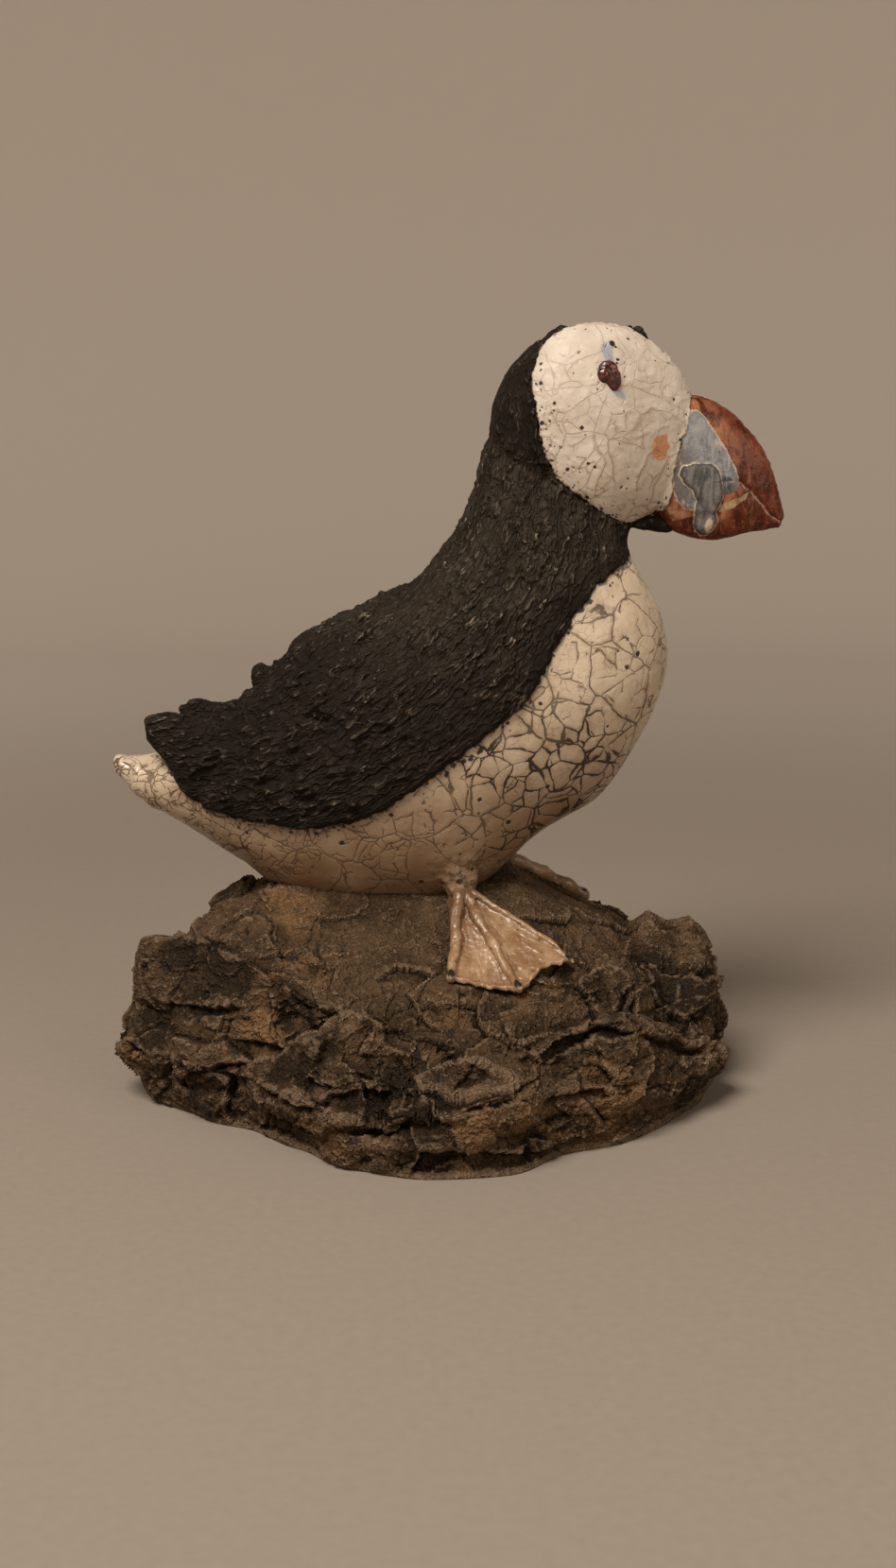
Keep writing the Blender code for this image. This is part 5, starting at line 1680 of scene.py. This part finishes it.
foot_glaze, place = new_finish(
    "tan_foot_glaze", Coat_Weight=0.22, Coat_Roughness=0.14, Specular_IOR_Level=0.38)
raised = painted("height") + (mottle(place, 0.004) - 0.5)
colour = blend(fade(mottle(place, 0.012), 0.35, 0.7), (0.2, 0.108, 0.05), (0.33, 0.208, 0.116))
# Painted shade: the foot is painted darker brown near the ankle, under the belly.
colour = blend(fade(painted("reach"), 0.026, 0.004, 0.8), colour, (0.1, 0.045, 0.018))
# Glaze pooled in the hollows, with painted shade: the hollows are painted dark brown.
colour = blend(fade(raised, 0.02, -0.4, 0.88), colour, (0.1, 0.042, 0.016))
# Glaze thin on the edges, with a painted highlight: raised rims are painted pale.
colour = blend(fade(raised, 0.12, 0.55, 0.85), colour, (0.54, 0.39, 0.255))
claws = fade(painted("claw"), 0.2, 0.5)
colour = blend(claws, colour, (0.012, 0.009, 0.008))
dirt = use_group(specks, Spacing=0.0034, Radius=0.00045, Share=0.2)["Mask"]
colour = blend(dirt * 0.85, colour, (0.035, 0.02, 0.012))
veins = use_group(crackle_net, Cell=0.006, Width=0.0003, Missing=0.6)
colour = blend(veins["Line"] * 0.55, colour, (0.1, 0.05, 0.025))
grain = use_group(clay_grain, Place=place, Size=0.0028, Drag=0.35)
height = grain["Height"] * 0.3 - dirt * 0.3
finish_surface(colour, 0.26 + fade(mottle(place, 0.006), 0.3, 0.8, 0.22), height)

# %% [markdown]
# The rock is bare, dark and dry. Its raised worms are a dusty brown with a painted highlight, the hollows
# almost black with soot and painted shade, the bottom of the sides painted darker as shade, iron bled out
# as rust low on the sides, and a few places melted into blue-black glass.

# %% Rock clay
rock_clay, place = new_finish(
    "dark_rock_clay", Specular_IOR_Level=0.22, Specular_Tint=(1.0, 0.76, 0.52, 1))
grain = use_group(clay_grain, Place=place, Size=0.003, Drag=0.8)
raised = painted("height")
height_up = put("SeparateXYZ", Vector=place)["Z"]
colour = blend(fade(grain["Mottle"], 0.35, 0.68), (0.029, 0.0168, 0.0084), (0.076, 0.045, 0.0235))
rust_field = mottle(place, 0.03, 4.0, 0.6) + painted("rusted") * 0.21
colour = blend(fade(rust_field, 0.55, 0.7, 0.85), colour, (0.155, 0.082, 0.035))
# Painted shade: the sides are painted darker towards the floor.
colour = blend(fade(height_up, 0.032, 0.002, 0.5), colour, (0.028, 0.016, 0.008))
high = fade(raised, -0.05, 0.6)
# Dust and wear with a painted highlight: thin crests of the grain are painted pale, most on raised places.
crest_highlight_and_wear = grain["Crest"] * (0.3 + high * 0.7)
colour = blend(crest_highlight_and_wear, colour, (0.26, 0.185, 0.12))
# Soot and painted shade: the large hollows are painted almost black.
colour = blend(fade(painted("hollow"), 0.4, -2.6, 0.8), colour, (0.013, 0.008, 0.0048))
# Soot and painted shade: the painted spots turn almost black, with ragged edges.
ragged = (mottle(place, 0.011, 6.0, 0.72) - 0.5) * 3.4
sooty = fade(painted("soot_and_shade") + ragged, 0.28, 0.66, 0.86)
colour = blend(sooty, colour, (0.0095, 0.006, 0.0038))
# Painted highlight: raised edges of the plates are painted lighter.
colour = blend(fade(raised, 0.22, 0.85, 0.55), colour, (0.165, 0.112, 0.07))
# Painted shade: small crevices of the relief are painted almost black.
colour = blend(fade(raised, -0.15, -0.9, 0.88), colour, (0.006, 0.0042, 0.003))
glass = fade(mottle(place, 0.01, 3.0), 0.645, 0.71)
colour = blend(glass * 0.8, colour, (0.012, 0.012, 0.015))
roughness = 0.78 - (glass * 0.28 + sooty * 0.1)
finish_surface(colour, roughness, grain["Height"] * 1.25)

# %% [markdown]
# ## Putting the pieces in the scene
#
# Each piece rides on the model's one body and stands for the imported solid that it replaces.

# %% Pieces
def add_piece(name, mesh, material, node):
    """A finished piece at the origin, unturned, with its place in its mesh."""
    mesh.name = name
    mesh.materials.clear()
    mesh.materials.append(material)
    piece = bpy.data.objects.new(name, mesh)
    bpy.context.scene.collection.objects.link(piece)
    print(name, "has", triangle_count(mesh), "triangles")
    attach(piece, "root")
    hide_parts(node)


add_piece("white_body", white_mesh, white_glaze, "puffin")
add_piece("black_mantle", mantle_mesh, black_clay, "puffin")
add_piece("bill", bill_mesh, bill_glaze, "puffin")
for label in ("near", "far"):
    add_piece(f"face_disc_{label}", disc_meshes[label], face_glaze, "puffin")
    add_piece(f"eye_{label}", eye_meshes[label], eye_glaze, "puffin")
    add_piece(f"{label}_foot", foot_meshes[label], foot_glaze, "puffin")
add_piece("clay_rock", rock_mesh, rock_clay, "rock")

# %% [markdown]
# ## Floor and light
#
# The floor is a pale disc that curves up into a wall far away on all sides, so that no edge crosses
# the picture from any side. One large soft lamp high in front on the left does most of the work, as a
# window would, and a weak one fills the right.

# %% Floor
FLOOR_SIDES = 96
FLAT_REACH, WALL_REACH, WALL_TOP = 1.6, 2.4, 2.4


def bowl_grid():
    """A flat floor that turns up by a quarter circle into a wall: a profile carried round."""
    bend = np.linspace(0, math.pi / 2, 16)
    curve = WALL_REACH - FLAT_REACH
    radius = np.concatenate([[0.001, 0.3, 0.8, 1.4], FLAT_REACH + curve * np.sin(bend), [WALL_REACH]])
    height = np.concatenate([[0, 0, 0, 0], curve - curve * np.cos(bend), [WALL_TOP]])
    turn = full_turn(FLOOR_SIDES)
    x, y = (radius[:, None] * trig(turn)[None, :] for trig in (np.cos, np.sin))
    return np.stack([x, y, np.repeat(height[:, None], FLOOR_SIDES, axis=1)], axis=2)


bowl = bowl_grid()
index, _, quads = ring_faces(*bowl.shape[:2])
quads = quads[:, [0, 3, 2, 1]]
corners = np.concatenate([quads.ravel(), index[0]])
sizes = np.append(np.full(len(quads), 4), FLOOR_SIDES)
floor_mesh = mesh_from("floor", bowl.reshape(-1, 3), corners, sizes)
floor_paint, place = new_finish("pale_floor", Specular_IOR_Level=0.2, Roughness=0.9)
near_tone = blend(mottle(place, 0.004, 2.0), (0.235, 0.195, 0.158), (0.27, 0.225, 0.183))
reach = put("VectorMath", {"operation": "LENGTH"}, Vector=place)["Value"]
connect(blend(fade(reach, 0.4, 1.7), near_tone, (0.54, 0.475, 0.41)), Work.shader.inputs["Base Color"])
floor_mesh.materials.append(floor_paint)
floor = bpy.data.objects.new("floor", floor_mesh)
bpy.context.scene.collection.objects.link(floor)


# %% Light
def soft_lamp(name, place, target, size, watts, colour):
    data = bpy.data.lights.new(name, "AREA")
    data.shape = "DISK"
    data.size = size
    data.energy = watts
    data.color = colour
    lamp = bpy.data.objects.new(name, data)
    lamp.location = place
    direction = np.array(target) - np.array(place)
    lamp.rotation_euler = (math.atan2(math.hypot(direction[0], direction[1]), -direction[2]), 0,
                           math.atan2(direction[1], direction[0]) - math.pi / 2)
    bpy.context.scene.collection.objects.link(lamp)


MIDDLE_OF_FIGURE = (0, 0, 0.15)
WARM = (1.0, 0.93, 0.85)
soft_lamp("key", (-0.62, -1.05, 1.75), MIDDLE_OF_FIGURE, 1.0, 54.0, WARM)
soft_lamp("fill", (1.2, -1.3, 0.9), MIDDLE_OF_FIGURE, 1.2, 7.0, WARM)
world = bpy.data.worlds.new("studio")
world.use_nodes = True
background = world.node_tree.nodes["Background"]
background.inputs["Color"].default_value = (0.33, 0.285, 0.235, 1)
background.inputs["Strength"].default_value = 0.50
bpy.context.scene.world = world
bpy.context.scene.view_settings.view_transform = "Standard"
